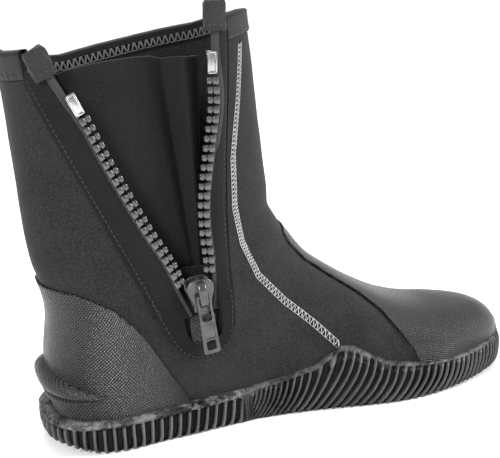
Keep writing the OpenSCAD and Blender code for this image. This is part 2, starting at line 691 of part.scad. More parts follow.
bridge_low = plate_gap + plate_thick;
bridge_high = bridge_low + 5.6;
bridge_half = 1.7;
eye_z = 12;                             // height of the tab's pivot on the slider
eye_out = bridge_low + 2.9;

module slider_bridge() color(metal_colour) place(slider_frame)
  rotate([90, 0, 90]) translate([0, 0, -bridge_half]) linear_extrude(2 * bridge_half)
    difference() {
      polygon([[bridge_low, eye_z - 6], [bridge_low + 3, eye_z - 5.5], [bridge_high, eye_z - 2],
               [bridge_high, eye_z + 4], [bridge_low + 3, eye_z + 7.5], [bridge_low, eye_z + 8]]);
      polygon([[bridge_low + 0.01, eye_z - 3], [bridge_low + 3, eye_z - 2.6],
               [bridge_high - 1.3, eye_z - 1], [bridge_high - 1.3, eye_z + 2],
               [bridge_low + 0.01, eye_z + 3]]);
    }

tab_thick = 1.8;
module pull_tab() color(metal_colour) place(slider_frame)
  translate([0, eye_out + tab_thick / 2, eye_z]) rotate([90, 0, 0]) linear_extrude(tab_thick)
    difference() {
      translate([-tab_width / 2, 1.4 - tab_length]) square([tab_width, tab_length]);
      translate([-2.4, -8.5]) square([4.8, 8.6]);
      translate([-2, 3.6 - tab_length]) square([4, 4]);
    }

outsole();
midsole();
insole_board();
footbed();
heel_rand();
forefoot_rand();
toe_panel();
front_panel();
medial_rear_quarter();
medial_front_quarter();
lateral_quarter();
toe_cap();
heel_counter();
fin_strap_ledge();
collar_binding();
collar_stitch();
seam_medial();
seam_lateral();
zip_gusset();
zip_facing_base();
zip_anchor_patch();
zip_bottom_stop();
rear_facing();
rear_tape();
rear_teeth();
rear_top_stop();
rear_binding_end();
front_facing();
front_tape();
front_teeth();
front_top_stop();
front_binding_end();
slider_body();
slider_bridge();
pull_tab();
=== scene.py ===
"""Looks of a left neoprene dive boot with an open inner-side zip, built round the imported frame.

Lengths in the shape functions are millimetres in the frame's own axes: +X to the toe, +Y to the
outer side, +Z up. They become metres when a mesh is made.
"""
import math

import bmesh
import bpy
import numpy as np
from mathutils import Matrix, Vector


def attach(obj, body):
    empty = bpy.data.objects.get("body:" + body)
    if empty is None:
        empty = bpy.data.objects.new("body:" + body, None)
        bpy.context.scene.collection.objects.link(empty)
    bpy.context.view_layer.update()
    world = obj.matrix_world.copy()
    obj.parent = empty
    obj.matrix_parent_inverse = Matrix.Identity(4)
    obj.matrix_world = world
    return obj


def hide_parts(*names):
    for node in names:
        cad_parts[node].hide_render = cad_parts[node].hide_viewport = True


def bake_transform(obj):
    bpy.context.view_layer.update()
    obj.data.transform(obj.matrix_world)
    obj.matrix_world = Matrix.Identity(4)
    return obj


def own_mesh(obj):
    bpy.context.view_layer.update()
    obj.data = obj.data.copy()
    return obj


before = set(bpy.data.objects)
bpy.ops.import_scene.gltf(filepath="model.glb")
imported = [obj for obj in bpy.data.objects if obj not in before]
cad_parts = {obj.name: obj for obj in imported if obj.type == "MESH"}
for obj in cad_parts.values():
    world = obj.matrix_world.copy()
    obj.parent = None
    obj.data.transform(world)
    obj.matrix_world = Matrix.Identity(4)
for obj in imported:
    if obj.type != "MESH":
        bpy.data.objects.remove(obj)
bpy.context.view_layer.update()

MM = 0.001

# ------------------------------------------------------------------ tables shared with the frame

# front x, front z, back x, back z, inner and outer half widths, roundness at back and front
SECTIONS = np.array([
    [147.5, 24.4, 147.5, 23.4, 0.5, 0.5, 2.4, 2.2],
    [145.6, 32.0, 145.6, 19.6, 12.0, 12.0, 2.8, 2.2],
    [141.3, 37.6, 141.3, 17.8, 19.5, 18.5, 4.0, 2.2],
    [131.3, 42.0, 131.3, 16.8, 27.5, 26.0, 4.6, 2.2],
    [115.0, 44.8, 114.0, 15.6, 36.0, 36.0, 5.0, 2.2],
    [95.0, 47.0, 93.0, 14.2, 42.5, 44.3, 5.2, 2.2],
    [74.0, 54.0, 68.0, 12.7, 43.9, 48.7, 5.2, 2.2],
    [52.0, 66.0, 40.0, 12.6, 40.7, 49.6, 5.2, 2.2],
    [33.0, 79.0, 11.0, 12.6, 35.7, 46.3, 5.0, 2.2],
    [18.0, 91.0, -20.0, 12.6, 31.9, 43.6, 5.0, 2.3],
    [7.0, 105.0, -60.0, 12.6, 34.4, 41.2, 5.0, 2.3],
    [-1.0, 118.0, -116.0, 12.6, 42.0, 38.8, 4.6, 2.3],
    [-5.0, 131.0, -142.6, 18.5, 41.8, 37.8, 3.1, 2.3],
    [-6.5, 144.0, -145.6, 49.0, 41.0, 38.2, 2.6, 2.3],
    [-7.8, 158.0, -142.4, 81.0, 40.6, 39.0, 2.4, 2.3],
    [-8.7, 173.0, -149.6, 111.0, 40.6, 40.5, 2.3, 2.3],
    [-9.8, 188.0, -152.2, 141.0, 41.0, 42.0, 2.3, 2.3],
    [-11.0, 204.0, -153.4, 170.0, 42.0, 43.0, 2.3, 2.3],
    [-12.3, 221.0, -154.8, 195.0, 42.8, 43.5, 2.3, 2.3],
    [-14.0, 239.0, -156.5, 215.0, 43.2, 44.0, 2.3, 2.3],
    [-15.5, 262.0, -160.0, 238.0, 44.0, 44.5, 2.3, 2.3],
])
# sole plan: x, half width on the inner side, half width on the outer side
SOLE_PLAN = np.array([
    [-150, 0, 0], [-148.8, 13.5, 12], [-145.5, 23, 20], [-138.5, 33, 28.5], [-127, 40, 35],
    [-110, 42.6, 38.8], [-80, 39.4, 40.5], [-50, 36.4, 42.8], [-20, 34.6, 45.8], [10, 38.4, 49.8],
    [40, 44.8, 53.6], [68, 48.4, 53.2], [92, 46.6, 48.8], [115, 40, 40.6], [133.5, 30.8, 30.2],
    [145, 20.2, 19.5], [150.8, 10, 10], [152.5, 0, 0],
], float)
RAND_TOP = np.array([
    [-150, 19], [-60, 19.5], [-35, 20.5], [-12, 23], [10, 28.8], [26, 40], [34, 39], [55, 27],
    [80, 22], [110, 19.2], [152.5, 19],
], float)
SEAM_LINE = np.array([
    [25, 20], [26, 41], [12, 56], [-6, 73], [-23, 93], [-31.5, 114], [-35, 136], [-34, 165],
    [-29, 195], [-24, 232], [-23, 262],
], float)
CAP_LINE = np.array([
    [81, 8], [79, 19], [74, 31], [66, 43], [57, 56], [46, 66], [27, 80], [13, 91], [3, 103],
    [-5, 119],
], float)
COUNTER_LINE = np.array([
    [-146, 98], [-129, 95], [-112, 86], [-99, 73], [-90, 60], [-83, 47], [-75, 33], [-69, 22],
], float)
FLAP_REAR_LINE = np.array([[-88, 81], [-111, 133], [-136, 190], [-145.5, 214], [-151.4, 240]], float)
FLAP_FRONT_LINE = np.array([[-41, 90], [-40.5, 136], [-38.5, 165], [-31, 262]], float)
FACING_REAR = np.concatenate([[[-47, 52], [-59, 48], [-71, 53], [-80, 64]], FLAP_REAR_LINE])
FACING_FRONT = np.concatenate([[[-47, 52], [-40.5, 64]], FLAP_FRONT_LINE])
COLLAR_S = 19.0
HEEL_S = 12.0
WALL_THICK = 5.0
BAND_S = 11 / 19
HINGE_X = 60.0
TOE_SPRING = math.radians(2.5)
INNER, OUTER = -1, 1


def smooth(x):
    """0 to 1 as x goes from 0 to 1, level at both ends."""
    x = np.clip(x, 0, 1)
    return x * x * (3 - 2 * x)


def bell(x, middle, width):
    return np.exp(-((x - middle) / width) ** 2)


def arrays(*values):
    """The values as float arrays of one shape."""
    return np.broadcast_arrays(*(np.asarray(v, float) for v in values))


def unit(v):
    v = np.asarray(v, float)
    return v / np.maximum(np.linalg.norm(v, axis=-1, keepdims=True), 1e-12)


def distance_along(path):
    """Distance from the start of a path to each of its points."""
    return np.concatenate([[0], np.cumsum(np.linalg.norm(np.diff(path, axis=0), axis=1))])


def rows(table, s):
    """Smooth curve through the rows of a table; s counts rows from 0."""
    s = np.asarray(s, float)
    last = len(table) - 1
    i = np.clip(np.floor(s).astype(int), 0, last - 1)
    t = (s - i)[..., None]
    a, b = table[np.maximum(i - 1, 0)], table[i]
    c, d = table[i + 1], table[np.minimum(i + 2, last)]
    return 0.5 * (2 * b + (c - a) * t + (2 * a - 5 * b + 4 * c - d) * t * t
                  + (3 * b - a - 3 * c + d) * t ** 3)


def section(s):
    """Table row of section s, its front and back points, their distance and way apart."""
    r = rows(SECTIONS, s)
    front, back = r[..., 0:2], r[..., 2:4]
    span = np.linalg.norm(front - back, axis=-1)
    return r, front, back, span, (front - back) / span[..., None]


def sock(s, t, side, g=0.0):
    """Point of the sock: section s, t from 0 at the back or sole to 1 at the front."""
    s, t, side, g = arrays(s, t, side, g)
    r, front, back, span, e = section(s)
    k = np.sin(np.radians(90 * np.minimum(s / 4, 1)))
    q = np.cos(np.pi * t)
    p = np.where(q > 0, r[..., 6], r[..., 7])
    wide = np.maximum(np.where(side < 0, r[..., 4], r[..., 5]) + g * k, 0.2)
    half = np.maximum(span / 2 + g * k, 0.2)
    c = (front + back) / 2 - e * (q * half)[..., None]
    y = side * wide * np.maximum(1 - np.abs(q) ** p, 0) ** (1 / p)
    return np.stack([c[..., 0] + g * np.sqrt(np.maximum(1 - k * k, 0)), y, c[..., 1]], -1)


FINE_S = np.arange(4, COLLAR_S + 1.01, 0.125)
FINE = rows(SECTIONS, FINE_S)


def section_at(x, z):
    """Section through the point (x, z) of the side view."""
    x, z = arrays(x, z)
    f = FINE.reshape((len(FINE),) + (1,) * x.ndim + (8,))
    side = ((f[..., 0] - f[..., 2]) * (z - f[..., 3]) - (f[..., 1] - f[..., 3]) * (x - f[..., 2]))
    crossing = (side[:-1] > 0) & (side[1:] <= 0)
    i = np.argmax(crossing, axis=0)
    a = np.take_along_axis(side, i[None], 0)[0]
    b = np.take_along_axis(side, i[None] + 1, 0)[0]
    s = FINE_S[i] + 0.125 * a / np.where(np.abs(a - b) < 1e-9, 1, a - b)
    beyond = ~crossing.any(axis=0)
    return np.where(beyond, np.where(side[0] <= 0, FINE_S[0], FINE_S[-1]), s)


def wall(x, z, side, g=0.0):
    """Point of the side wall over (x, z), g outside the neoprene's outer face."""
    x, z, side, g = arrays(x, z, side, g)
    r, front, back, span, e = section(section_at(x, z))
    mid = (front + back) / 2
    q = -((x - mid[..., 0]) * e[..., 0] + (z - mid[..., 1]) * e[..., 1]) / (span / 2 + g)
    n = np.where(q > 0, r[..., 6], r[..., 7])
    y = side * (np.where(side < 0, r[..., 4], r[..., 5]) + g)
    return np.stack([x, y * np.maximum(1 - np.abs(q) ** n, 0) ** (1 / n), z], -1)


def t_cross(s, line):
    """t at which section s crosses a side-view polyline."""
    s = np.asarray(s, float)
    r = rows(SECTIONS, s)
    back, d = r[..., 2:4], r[..., 0:2] - r[..., 2:4]
    found = np.full(s.shape, np.nan)
    for p, q in zip(line[:-1], line[1:]):
        e, f = q - p, p - back
        c = d[..., 0] * e[1] - d[..., 1] * e[0]
        u = (f[..., 0] * e[1] - f[..., 1] * e[0]) / c
        v = (f[..., 0] * d[..., 1] - f[..., 1] * d[..., 0]) / c
        hit = (v >= -0.02) & (v <= 1.02) & (u > 0) & (u < 1) & np.isnan(found)
        found = np.where(hit, u, found)
    return np.arccos(1 - 2 * np.nan_to_num(found, nan=0.98)) / np.pi


def t_height(s, z):
    """t at which section s passes the height z."""
    r = rows(SECTIONS, s)
    u = (z - r[..., 3]) / (r[..., 1] - r[..., 3])
    return np.arccos(1 - 2 * np.clip(u, 0.002, 0.98)) / np.pi


def table_at(table, x):
    return np.interp(x, table[:, 0], table[:, 1])


def spring(x):
    """Rise of the sole toward the toe."""
    return np.maximum(x - HINGE_X, 0) * math.tan(TOE_SPRING)


def ripple(p, seed, size):
    """Slow, even waviness of height about 1 over points p, with waves about size long."""
    total = np.zeros(p.shape[:-1])
    for n in range(5):
        a = seed * 1.7 + n * 2.4
        way = np.array([math.sin(a), math.cos(a * 1.3), math.sin(a * 0.7 + 1)])
        total += np.sin(p @ way * (2 * math.pi / size) * (0.7 + 0.25 * n) + a * 3)
    return total / 5


# ------------------------------------------------------------------ meshes

def linked(name, data):
    """New object in the scene."""
    obj = bpy.data.objects.new(name, data)
    bpy.context.scene.collection.objects.link(obj)
    return obj


def set_surf(mesh, coords):
    """Surface coordinates in millimetres at each vertex, which the materials read."""
    if "surf" in mesh.attributes:
        mesh.attributes.remove(mesh.attributes["surf"])
    attribute = mesh.attributes.new("surf", "FLOAT_VECTOR", "POINT")
    attribute.data.foreach_set("vector", np.asarray(coords, np.float32).reshape(-1))


def mesh_piece(name, points, faces, coords):
    """Smooth mesh object from points in millimetres and its surface coordinates."""
    mesh = bpy.data.meshes.new(name)
    mesh.from_pydata((np.asarray(points, float).reshape(-1, 3) * MM).tolist(), [], faces)
    mesh.validate()
    set_surf(mesh, coords)
    mesh.polygons.foreach_set("use_smooth", [True] * len(mesh.polygons))
    mesh.update()
    return linked(name, mesh)


def grid_faces(nu, nv, start=0, flip=False, wrap=False):
    faces = []
    for i in range(nu - 1):
        for j in range(nv if wrap else nv - 1):
            k = (j + 1) % nv
            f = (start + i * nv + j, start + (i + 1) * nv + j,
                 start + (i + 1) * nv + k, start + i * nv + k)
            faces.append(f[::-1] if flip else f)
    return faces


def arc_coords(points):
    """Distance along the rows and columns of a grid of points."""
    du = np.linalg.norm(np.diff(points, axis=0), axis=-1)
    dv = np.linalg.norm(np.diff(points, axis=1), axis=-1)
    u = np.concatenate([np.zeros((1, points.shape[1])), np.cumsum(du, 0)])
    v = np.concatenate([np.zeros((points.shape[0], 1)), np.cumsum(dv, 1)], 1)
    mid = points.shape[1] // 2
    return np.stack([u, v - v[:, mid:mid + 1], np.zeros_like(u)], -1)


def outward(points, faces):
    """The faces of a closed skin, all turned over if they look inward."""
    volume = 0.0
    for f in faces:
        for k in range(1, len(f) - 1):
            volume += np.dot(np.cross(points[f[0]], points[f[k]]), points[f[k + 1]])
    return [f[::-1] for f in faces] if volume < 0 else faces


def capped(rings):
    """Points and faces of a closed skin over a stack of rings."""
    nu, nv = rings.shape[:2]
    points = rings.reshape(-1, 3)
    faces = grid_faces(nu, nv, wrap=True)
    faces += [tuple(range(nv))[::-1], tuple(range((nu - 1) * nv, nu * nv))]
    return points, outward(points, faces)


def slab(name, outer, inner, coords=None):
    """Closed piece between an outer and an inner grid of points, joined along all four edges."""
    nu, nv = outer.shape[:2]
    n = nu * nv
    points = np.concatenate([outer.reshape(-1, 3), inner.reshape(-1, 3)])
    faces = grid_faces(nu, nv) + grid_faces(nu, nv, n, True)
    ring = ([(0, j) for j in range(nv)] + [(i, nv - 1) for i in range(1, nu)]
            + [(nu - 1, j) for j in range(nv - 2, -1, -1)] + [(i, 0) for i in range(nu - 2, 0, -1)])
    for (i, j), (k, m) in zip(ring, ring[1:] + ring[:1]):
        a, b = i * nv + j, k * nv + m
        faces.append((a, b, b + n, a + n))
    c = arc_coords(outer) if coords is None else coords
    return mesh_piece(name, points, outward(points, faces), np.concatenate([c.reshape(-1, 3)] * 2))


def edge_spaced(n, length, radius, steps=4):
    """n shares from 0 to 1, with extra ones close to both ends for a rounded edge."""
    close = radius * (1 - np.cos(math.pi / 2 * np.arange(steps + 1) / steps)) / length
    return np.concatenate([close, np.linspace(close[-1], 1 - close[-1], n)[1:-1], 1 - close[::-1]])


def rounded_grid(nu, nv, lu, lv, radius):
    """Shares a and b of a sheet lu by lv long, and how far it falls away at its rounded edges."""
    a, b = np.meshgrid(edge_spaced(nu, lu, radius), edge_spaced(nv, lv, radius), indexing="ij")
    near = np.minimum(np.minimum(a, 1 - a) * lu, np.minimum(b, 1 - b) * lv)
    x = np.clip(1 - near / radius, 0, 1)
    return a, b, radius * (1 - np.sqrt(np.maximum(1 - x * x, 0)))


def shell(name, surface, grid, size, low, high, radius, material, body, *replaced, relief=None,
          coords_of=arc_coords):
    """Finished sheet with rounded edges over surface(a, b, g), with g from low to high."""
    a, b, drop = rounded_grid(*grid, *size, radius)
    g = high - drop
    if relief is not None:
        g = g + relief(a, b)
    outer = surface(a, b, g)
    obj = slab(name, outer, surface(a, b, np.full_like(a, low)), coords_of(outer))
    finish_piece(obj, material, body, *replaced)


def tube(path, radius, sides=5):
    """Round thread along a path, with capped ends, as (points, faces, coords)."""
    tangent = unit(np.gradient(path, axis=0))
    side = unit(np.cross(tangent, np.array([0.0, 0.0, 1.0])) + 1e-6)
    over = np.cross(side, tangent)
    angle = np.linspace(0, 2 * math.pi, sides, endpoint=False)
    ring = (side[:, None] * np.cos(angle)[None, :, None]
            + over[:, None] * np.sin(angle)[None, :, None]) * radius
    coords = np.zeros((len(path), sides, 3))
    coords[..., 0] = distance_along(path)[:, None]
    coords[..., 1] = angle[None, :]
    return *capped(path[:, None] + ring), coords.reshape(-1, 3)


def join_parts(name, parts):
    """One piece from several (points, faces, coords)."""
    points, faces, coords, start = [], [], [], 0
    for p, f, c in parts:
        points.append(p)
        coords.append(c)
        faces += [tuple(i + start for i in face) for face in f]
        start += len(p)
    return mesh_piece(name, np.concatenate(points), faces, np.concatenate(coords))


def dashes(name, path, length, pitch, radius, lift):
    """Row of short stitches along a path; lift is the outward way at each point."""
    along = distance_along(path)
    arch = np.sin(np.linspace(0, math.pi, 5))[:, None]
    parts = []
    for k in range(int(along[-1] / pitch)):
        d = np.linspace(k * pitch, k * pitch + length, 5)
        p, out = (np.stack([np.interp(d, along, v[:, i]) for i in range(3)], -1)
                  for v in (path, lift))
        parts.append(tube(p + out * (arch * radius * 1.2 - radius * 0.45), radius))
    return join_parts(name, parts)


def evaluated_mesh(obj):
    """Mesh of an object with its modifiers or curve settings applied."""
    graph = bpy.context.evaluated_depsgraph_get()
    return bpy.data.meshes.new_from_object(obj.evaluated_get(graph))


def bevelled(obj, width):
    modifier = obj.modifiers.new("bevel", "BEVEL")
    modifier.width = width * MM
    modifier.segments = 2
    modifier.limit_method = "ANGLE"
    modifier.angle_limit = math.radians(35)
    mesh = evaluated_mesh(obj)
    obj.modifiers.clear()
    obj.data = mesh
    return obj

# ------------------------------------------------------------------ materials

def plug(value, socket):
    """Gives a socket a fixed value or another node's output."""
    if isinstance(value, Output):
        socket.id_data.links.new(value.socket, socket)
    else:
        socket.default_value = value


class Output:
    """Output of a material node; +, - and * on it make Math nodes."""

    def __init__(self, socket):
        self.socket = socket

    def calc(self, operation, other=0.0):
        made = self.socket.id_data.nodes.new("ShaderNodeMath")
        made.operation = operation
        plug(self, made.inputs[0])
        plug(other, made.inputs[1])
        return Output(made.outputs[0])

    def __add__(self, other):
        return self.calc("ADD", other)

    def __sub__(self, other):
        return self.calc("SUBTRACT", other)

    def __mul__(self, other):
        return self.calc("MULTIPLY", other)


class Look:
    """A material while it is made."""

    def __init__(self, name):
        self.material = bpy.data.materials.new(name)
        self.material.use_nodes = True
        self.tree = self.material.node_tree

    def node(self, kind, output, inputs=None, **settings):
        made = self.tree.nodes.new("ShaderNode" + kind)
        for key, value in settings.items():
            setattr(made, key, value)
        for key, value in (inputs or {}).items():
            plug(value, made.inputs[key])
        return Output(made.outputs[output])

    def along(self, axis, slant=0.0):
        """One of a piece's surface coordinates in millimetres, with x and y turned by slant."""
        surf = self.node("Attribute", "Vector", attribute_name="surf")
        turned = self.node("VectorRotate", 0, {"Vector": surf, "Angle": math.radians(slant)},
                           rotation_type="Z_AXIS")
        return self.node("SeparateXYZ", axis, {0: turned})

    def wave(self, axis, period, slant=0.0):
        """0 to 1 wave along a surface coordinate, one crest each period of millimetres."""
        return (self.along(axis, slant) * (2 * math.pi / period)).calc("SINE") * 0.5 + 0.5

    def noise(self, scale, detail=3.0, rough=0.5):
        place = self.node("TexCoord", "Object")
        return self.node("TexNoise", "Fac", {"Vector": place, "Scale": scale, "Detail": detail,
                                             "Roughness": rough})

    def ranged(self, value, low, high, to_low=0.0, to_high=1.0):
        return self.node("MapRange", 0, {"Value": value, "From Min": low, "From Max": high,
                                         "To Min": to_low, "To Max": to_high})

    def edges(self, low, high):
        """0 in hollows to 1 on edges that stand out."""
        return self.ranged(self.node("NewGeometry", "Pointiness"), low, high)

    def paint(self, tone, dark, light, band, grain, rough, sockets, height=None, relief=None,
              cool=0.03):
        """Grey by tone over a band, roughness by grain, relief by height, and plain sockets."""
        shader = self.tree.nodes["Principled BSDF"]
        ramp = self.tree.nodes.new("ShaderNodeValToRGB")
        for stop, position, v in zip(ramp.color_ramp.elements, band, (dark, light)):
            stop.position = position
            stop.color = (v, v * (1 + cool / 2), v * (1 + cool), 1)
        plug(tone, ramp.inputs["Fac"])
        plug(Output(ramp.outputs["Color"]), shader.inputs["Base Color"])
        plug(self.ranged(grain, 0, 1, *rough) if grain else rough, shader.inputs["Roughness"])
        for key, value in sockets.items():
            shader.inputs[key].default_value = value
        if height is not None:
            strength, distance = relief
            plug(self.node("Bump", 0, {"Strength": strength, "Distance": distance * MM,
                                       "Height": height}), shader.inputs["Normal"])
        return self.material


def fabric(name, dark, light, grain, rough, sheen, relief, knit=1.1, cloud=35):
    """Knit-faced cloth: fine crossed ribs, soft clouds of tone and a low sheen."""
    look = Look(name)
    ribs = look.wave(0, knit) * look.wave(1, knit * 0.8)
    speckle = look.noise(1300, 3, 0.8)
    tone = speckle * 0.82 + look.noise(cloud, 4, 0.6) * 0.18
    return look.paint(tone, dark, light, (0.42, 0.58), speckle, (rough - 0.06, rough + 0.06),
                      {"Sheen Weight": sheen, "Sheen Roughness": 0.45, "Specular IOR Level": 0.16},
                      ribs * grain + speckle, (0.35, relief))


def woven_tape(name, dark, light, pitch, slant, relief, inner_painted_shade=0.0):
    """Over-and-under checks of warp and weft, with painted shade darkening the tape where surface z
    is 1.
    """
    look = Look(name)
    checks = (look.wave(0, pitch, slant) - look.wave(1, pitch, slant)).calc("ABSOLUTE")
    fuzz = look.noise(1200, 3, 0.7)
    # painted shade: the tape is darker where surface z is 1, on its top turn and inside face
    tone = checks * 0.55 + fuzz * 0.45 - look.along(2) * inner_painted_shade
    return look.paint(tone, dark, light, (0.25, 0.7), fuzz, (0.72, 0.9),
                      {"Sheen Weight": 0.08, "Specular IOR Level": 0.2},
                      checks + fuzz, (0.6, relief))


def rubber(name, dark, light, rough, edge_wear_and_light, relief=0.12, scuffed=0.0):
    """Moulded rubber: mottled, painted lighter on edges as wear and highlight and on rib crests as
    highlight, scuffed along a rand's lip.
    """
    look = Look(name)
    fine = look.noise(700, 4, 0.65)
    near_top = look.along(2).calc("GREATER_THAN", 0.8)
    scuff = near_top * look.ranged(look.noise(110, 5, 0.75), 0.46, 0.62)
    # edges painted lighter, partly as wear and partly as highlight; surface x, a rand rib's crest,
    # painted lighter as highlight, so the grooves stay darker as painted shade
    tone = (look.noise(45, 4, 0.6) * 0.6 + look.edges(0.48, 0.60) * edge_wear_and_light + fine * 0.25
            + look.along(0) * 0.3 + scuff * scuffed) * 0.6
    return look.paint(tone, dark, light, (0.3, 1.0), fine, (rough - 0.08, rough + 0.08),
                      {"Specular IOR Level": 0.14}, fine, (0.25, relief))


def weave_rubber(name, dark, light, across, along, slant, relief, specular):
    """Rubber with a moulded basket weave of small raised lozenges, painted lighter than the hollows
    between them as highlight and shade.
    """
    look = Look(name)
    lozenge = (look.wave(0, across, slant) * look.wave(1, along, slant)).calc("POWER", 0.6)
    fine = look.noise(800, 3, 0.6)
    # painted highlight and shade: raised lozenges lighter, the hollows between them darker
    tone = lozenge * 0.7 + look.noise(30, 3, 0.5) * 0.3
    return look.paint(tone, dark, light, (0.28, 0.88), fine, (0.25, 0.39),
                      {"Specular IOR Level": specular}, lozenge + fine * 0.15, (1.0, relief))


def thread(name, dark, light):
    """Twisted thread with light and dark plies."""
    look = Look(name)
    twist = look.wave(0, 0.7, 30)
    fuzz = look.noise(500, 3, 0.7)
    return look.paint(twist * 0.4 + fuzz * 0.6, dark, light, (0.25, 0.75), fuzz, (0.55, 0.8),
                      {"Sheen Weight": 0.15}, twist, (0.5, 0.1))


def hard(name, dark, light, rough, metallic, specular, relief, coat=0.0):
    """Satin moulded plastic or coated metal, with a fine uneven skin and edges painted lighter,
    partly as wear and partly as highlight.
    """
    look = Look(name)
    fine = look.noise(1500, 3, 0.6)
    # edges painted lighter, partly as wear and partly as painted highlight
    tone = look.noise(160, 3, 0.5) * 0.6 + look.edges(0.5, 0.62) * 0.5
    return look.paint(tone, dark, light, (0.25, 0.9), fine, (rough - 0.07, rough + 0.07),
                      {"Metallic": metallic, "Specular IOR Level": specular, "Coat Weight": coat,
                       "Coat Roughness": 0.3}, fine, (0.3, relief))


# name here: material slot of the record, material
MATERIALS = {
    "neoprene": ("neoprene", fabric("neoprene_knit", 0.004, 0.021, 0.6, 0.86, 0.08, 0.22)),
    "facing": ("neoprene", fabric("facing_cloth", 0.002, 0.008, 0.8, 0.82, 0.04, 0.2, 0.9)),
    "gusset": ("neoprene", fabric("gusset_cloth", 0.003, 0.010, 0.6, 0.84, 0.05, 0.2, 1.0, 20)),
    # inside of the collar: the neoprene painted darker, as painted shade
    "shaded_lining": ("neoprene", fabric("lining_cloth", 0.002, 0.006, 0.7, 0.9, 0.03, 0.2, 1.3)),
    "foam": ("foam", fabric("footbed_cloth", 0.010, 0.03, 1.0, 0.9, 0.2, 0.3, 1.8)),
    # binding tape with painted shade on its top turn and inside face
    "binding": ("binding", woven_tape("binding_tape", 0.003, 0.034, 0.9, 8, 0.2, 0.45)),
    "zip_tape": ("zip_tape", woven_tape("zip_tape", 0.008, 0.05, 1.5, 45, 0.35)),
    "patch": ("zip_tape", woven_tape("anchor_weave", 0.006, 0.05, 2.1, 45, 0.4)),
    "overlay": ("overlay", weave_rubber("counter_weave", 0.0, 0.085, 1.55, 1.45, 45, 1.1, 0.6)),
    "cap": ("overlay", weave_rubber("cap_weave", 0.0, 0.026, 1.35, 1.45, 0, 0.8, 0.5)),
    "rubber": ("rubber", rubber("rand_rubber", 0.001, 0.14, 0.42, 0.4, 0.2, 0.55)),
    "heel_rubber": ("rubber", rubber("heel_rand_rubber", 0.002, 0.2, 0.42, 0.4, 0.25, 0.7)),
    "sole": ("rubber", rubber("sole_rubber", 0.012, 0.035, 0.62, 0.2)),
    "midsole": ("midsole_rubber", rubber("midsole_foam", 0.012, 0.03, 0.75, 0.1, 0.2)),
    "board": ("board", woven_tape("board_weave", 0.02, 0.06, 2.4, 45, 0.3)),
    "thread": ("thread", thread("seam_thread", 0.12, 0.5)),
    "dim_thread": ("thread", thread("running_thread", 0.003, 0.022)),
    "dark_thread": ("thread", thread("collar_thread", 0.03, 0.13)),
    "tooth": ("tooth_plastic", hard("tooth_plastic", 0.005, 0.045, 0.2, 0.0, 0.9, 0.05, 0.4)),
    "clip": ("slider_metal", hard("clip_metal", 0.16, 0.6, 0.25, 1.0, 0.5, 0.03)),
    "metal": ("slider_metal", hard("slider_coat", 0.012, 0.10, 0.24, 0.35, 0.7, 0.03, 0.5)),
}


def finish_piece(obj, material, body, *replaced):
    """Material, hidden replaced frame nodes, and a body; a piece given a blend tuple instead has its
    transform baked in.
    """
    slot, look = MATERIALS[material]
    obj.data.materials.clear()
    obj.data.materials.append(look)
    if isinstance(body, str):
        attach(obj, body)
    else:
        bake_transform(obj)
    if replaced:
        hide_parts(*replaced)


# Where soft pieces turn from the boot to each flap.
REAR_BLEND = ("rear_flap", (-0.080, -0.038, 0.064), (-0.0756, -0.0587, 0.0724))
FRONT_BLEND = ("front_flap", (-0.040, -0.036, 0.085), (-0.040, -0.0501, 0.0885))

# ------------------------------------------------------------------ zip frames

APEX = np.array([-59.0, 77.0])
CHAIN_DEPTH = 1.6
EDGE_LENGTH = 178.0
REAR_LEAN, FRONT_LEAN, CLOSED_LEAN = -25, 3.4, -6
CLOSED_Y = -42.0


def lean(degrees):
    """Upward way in the side view, leaning toward the toe by degrees."""
    return np.array([math.sin(math.radians(degrees)), math.cos(math.radians(degrees))])


apex3, rear_top3, front_top3 = (
    wall(*p, INNER, -CHAIN_DEPTH)
    for p in (APEX, APEX + EDGE_LENGTH * lean(REAR_LEAN), APEX + EDGE_LENGTH * lean(FRONT_LEAN)))
closed_top = APEX + EDGE_LENGTH * lean(CLOSED_LEAN)
closed_top3 = np.array([closed_top[0], CLOSED_Y, closed_top[1]])
chain_up = unit(closed_top3 - apex3)
chain_across = unit(np.cross([0, -1, 0], chain_up))
chain_out = np.cross(chain_up, chain_across)


def spin(v, axis, a):
    """v turned about a unit axis by the angle a."""
    return (v * math.cos(a) + np.cross(axis, v) * math.sin(a)
            + axis * np.dot(axis, v) * (1 - math.cos(a)))


def flap_frame(top3, across):
    """The closed chain's directions, opened to the edge that ends at top3."""
    axis = unit(np.cross(top3 - apex3, closed_top3 - apex3))
    angle = math.acos(np.dot(unit(top3 - apex3), unit(closed_top3 - apex3)))
    return [spin(v, axis, -angle) for v in (across, chain_out, chain_up)]


rear_frame = flap_frame(rear_top3, chain_across)
front_frame = flap_frame(front_top3, -chain_across)
slider_frame = [chain_across, chain_out, chain_up]


def in_frame(f, across, out, up):
    """Points given by their distances from the foot of the zip along a frame."""
    across, out, up = arrays(across, out, up)
    return apex3 + f[0] * across[..., None] + f[1] * out[..., None] + f[2] * up[..., None]


def place(obj, f):
    """Moves a piece drawn with x across, y out and z up into a frame of the zip."""
    m = Matrix([[f[0][i], f[1][i], f[2][i], apex3[i] * MM] for i in range(3)] + [[0, 0, 0, 1]])
    obj.data.transform(m)
    if m.determinant() < 0:
        obj.data.flip_normals()
    obj.data.update()


def hard_piece(obj, f, material, body, node_name):
    """Small piece whose material follows its own x, y and z, set into a frame of the zip."""
    set_surf(obj.data, np.array([v.co for v in obj.data.vertices]) / MM)
    place(obj, f)
    finish_piece(obj, material, body, node_name)


# ------------------------------------------------------------------ sole and rands

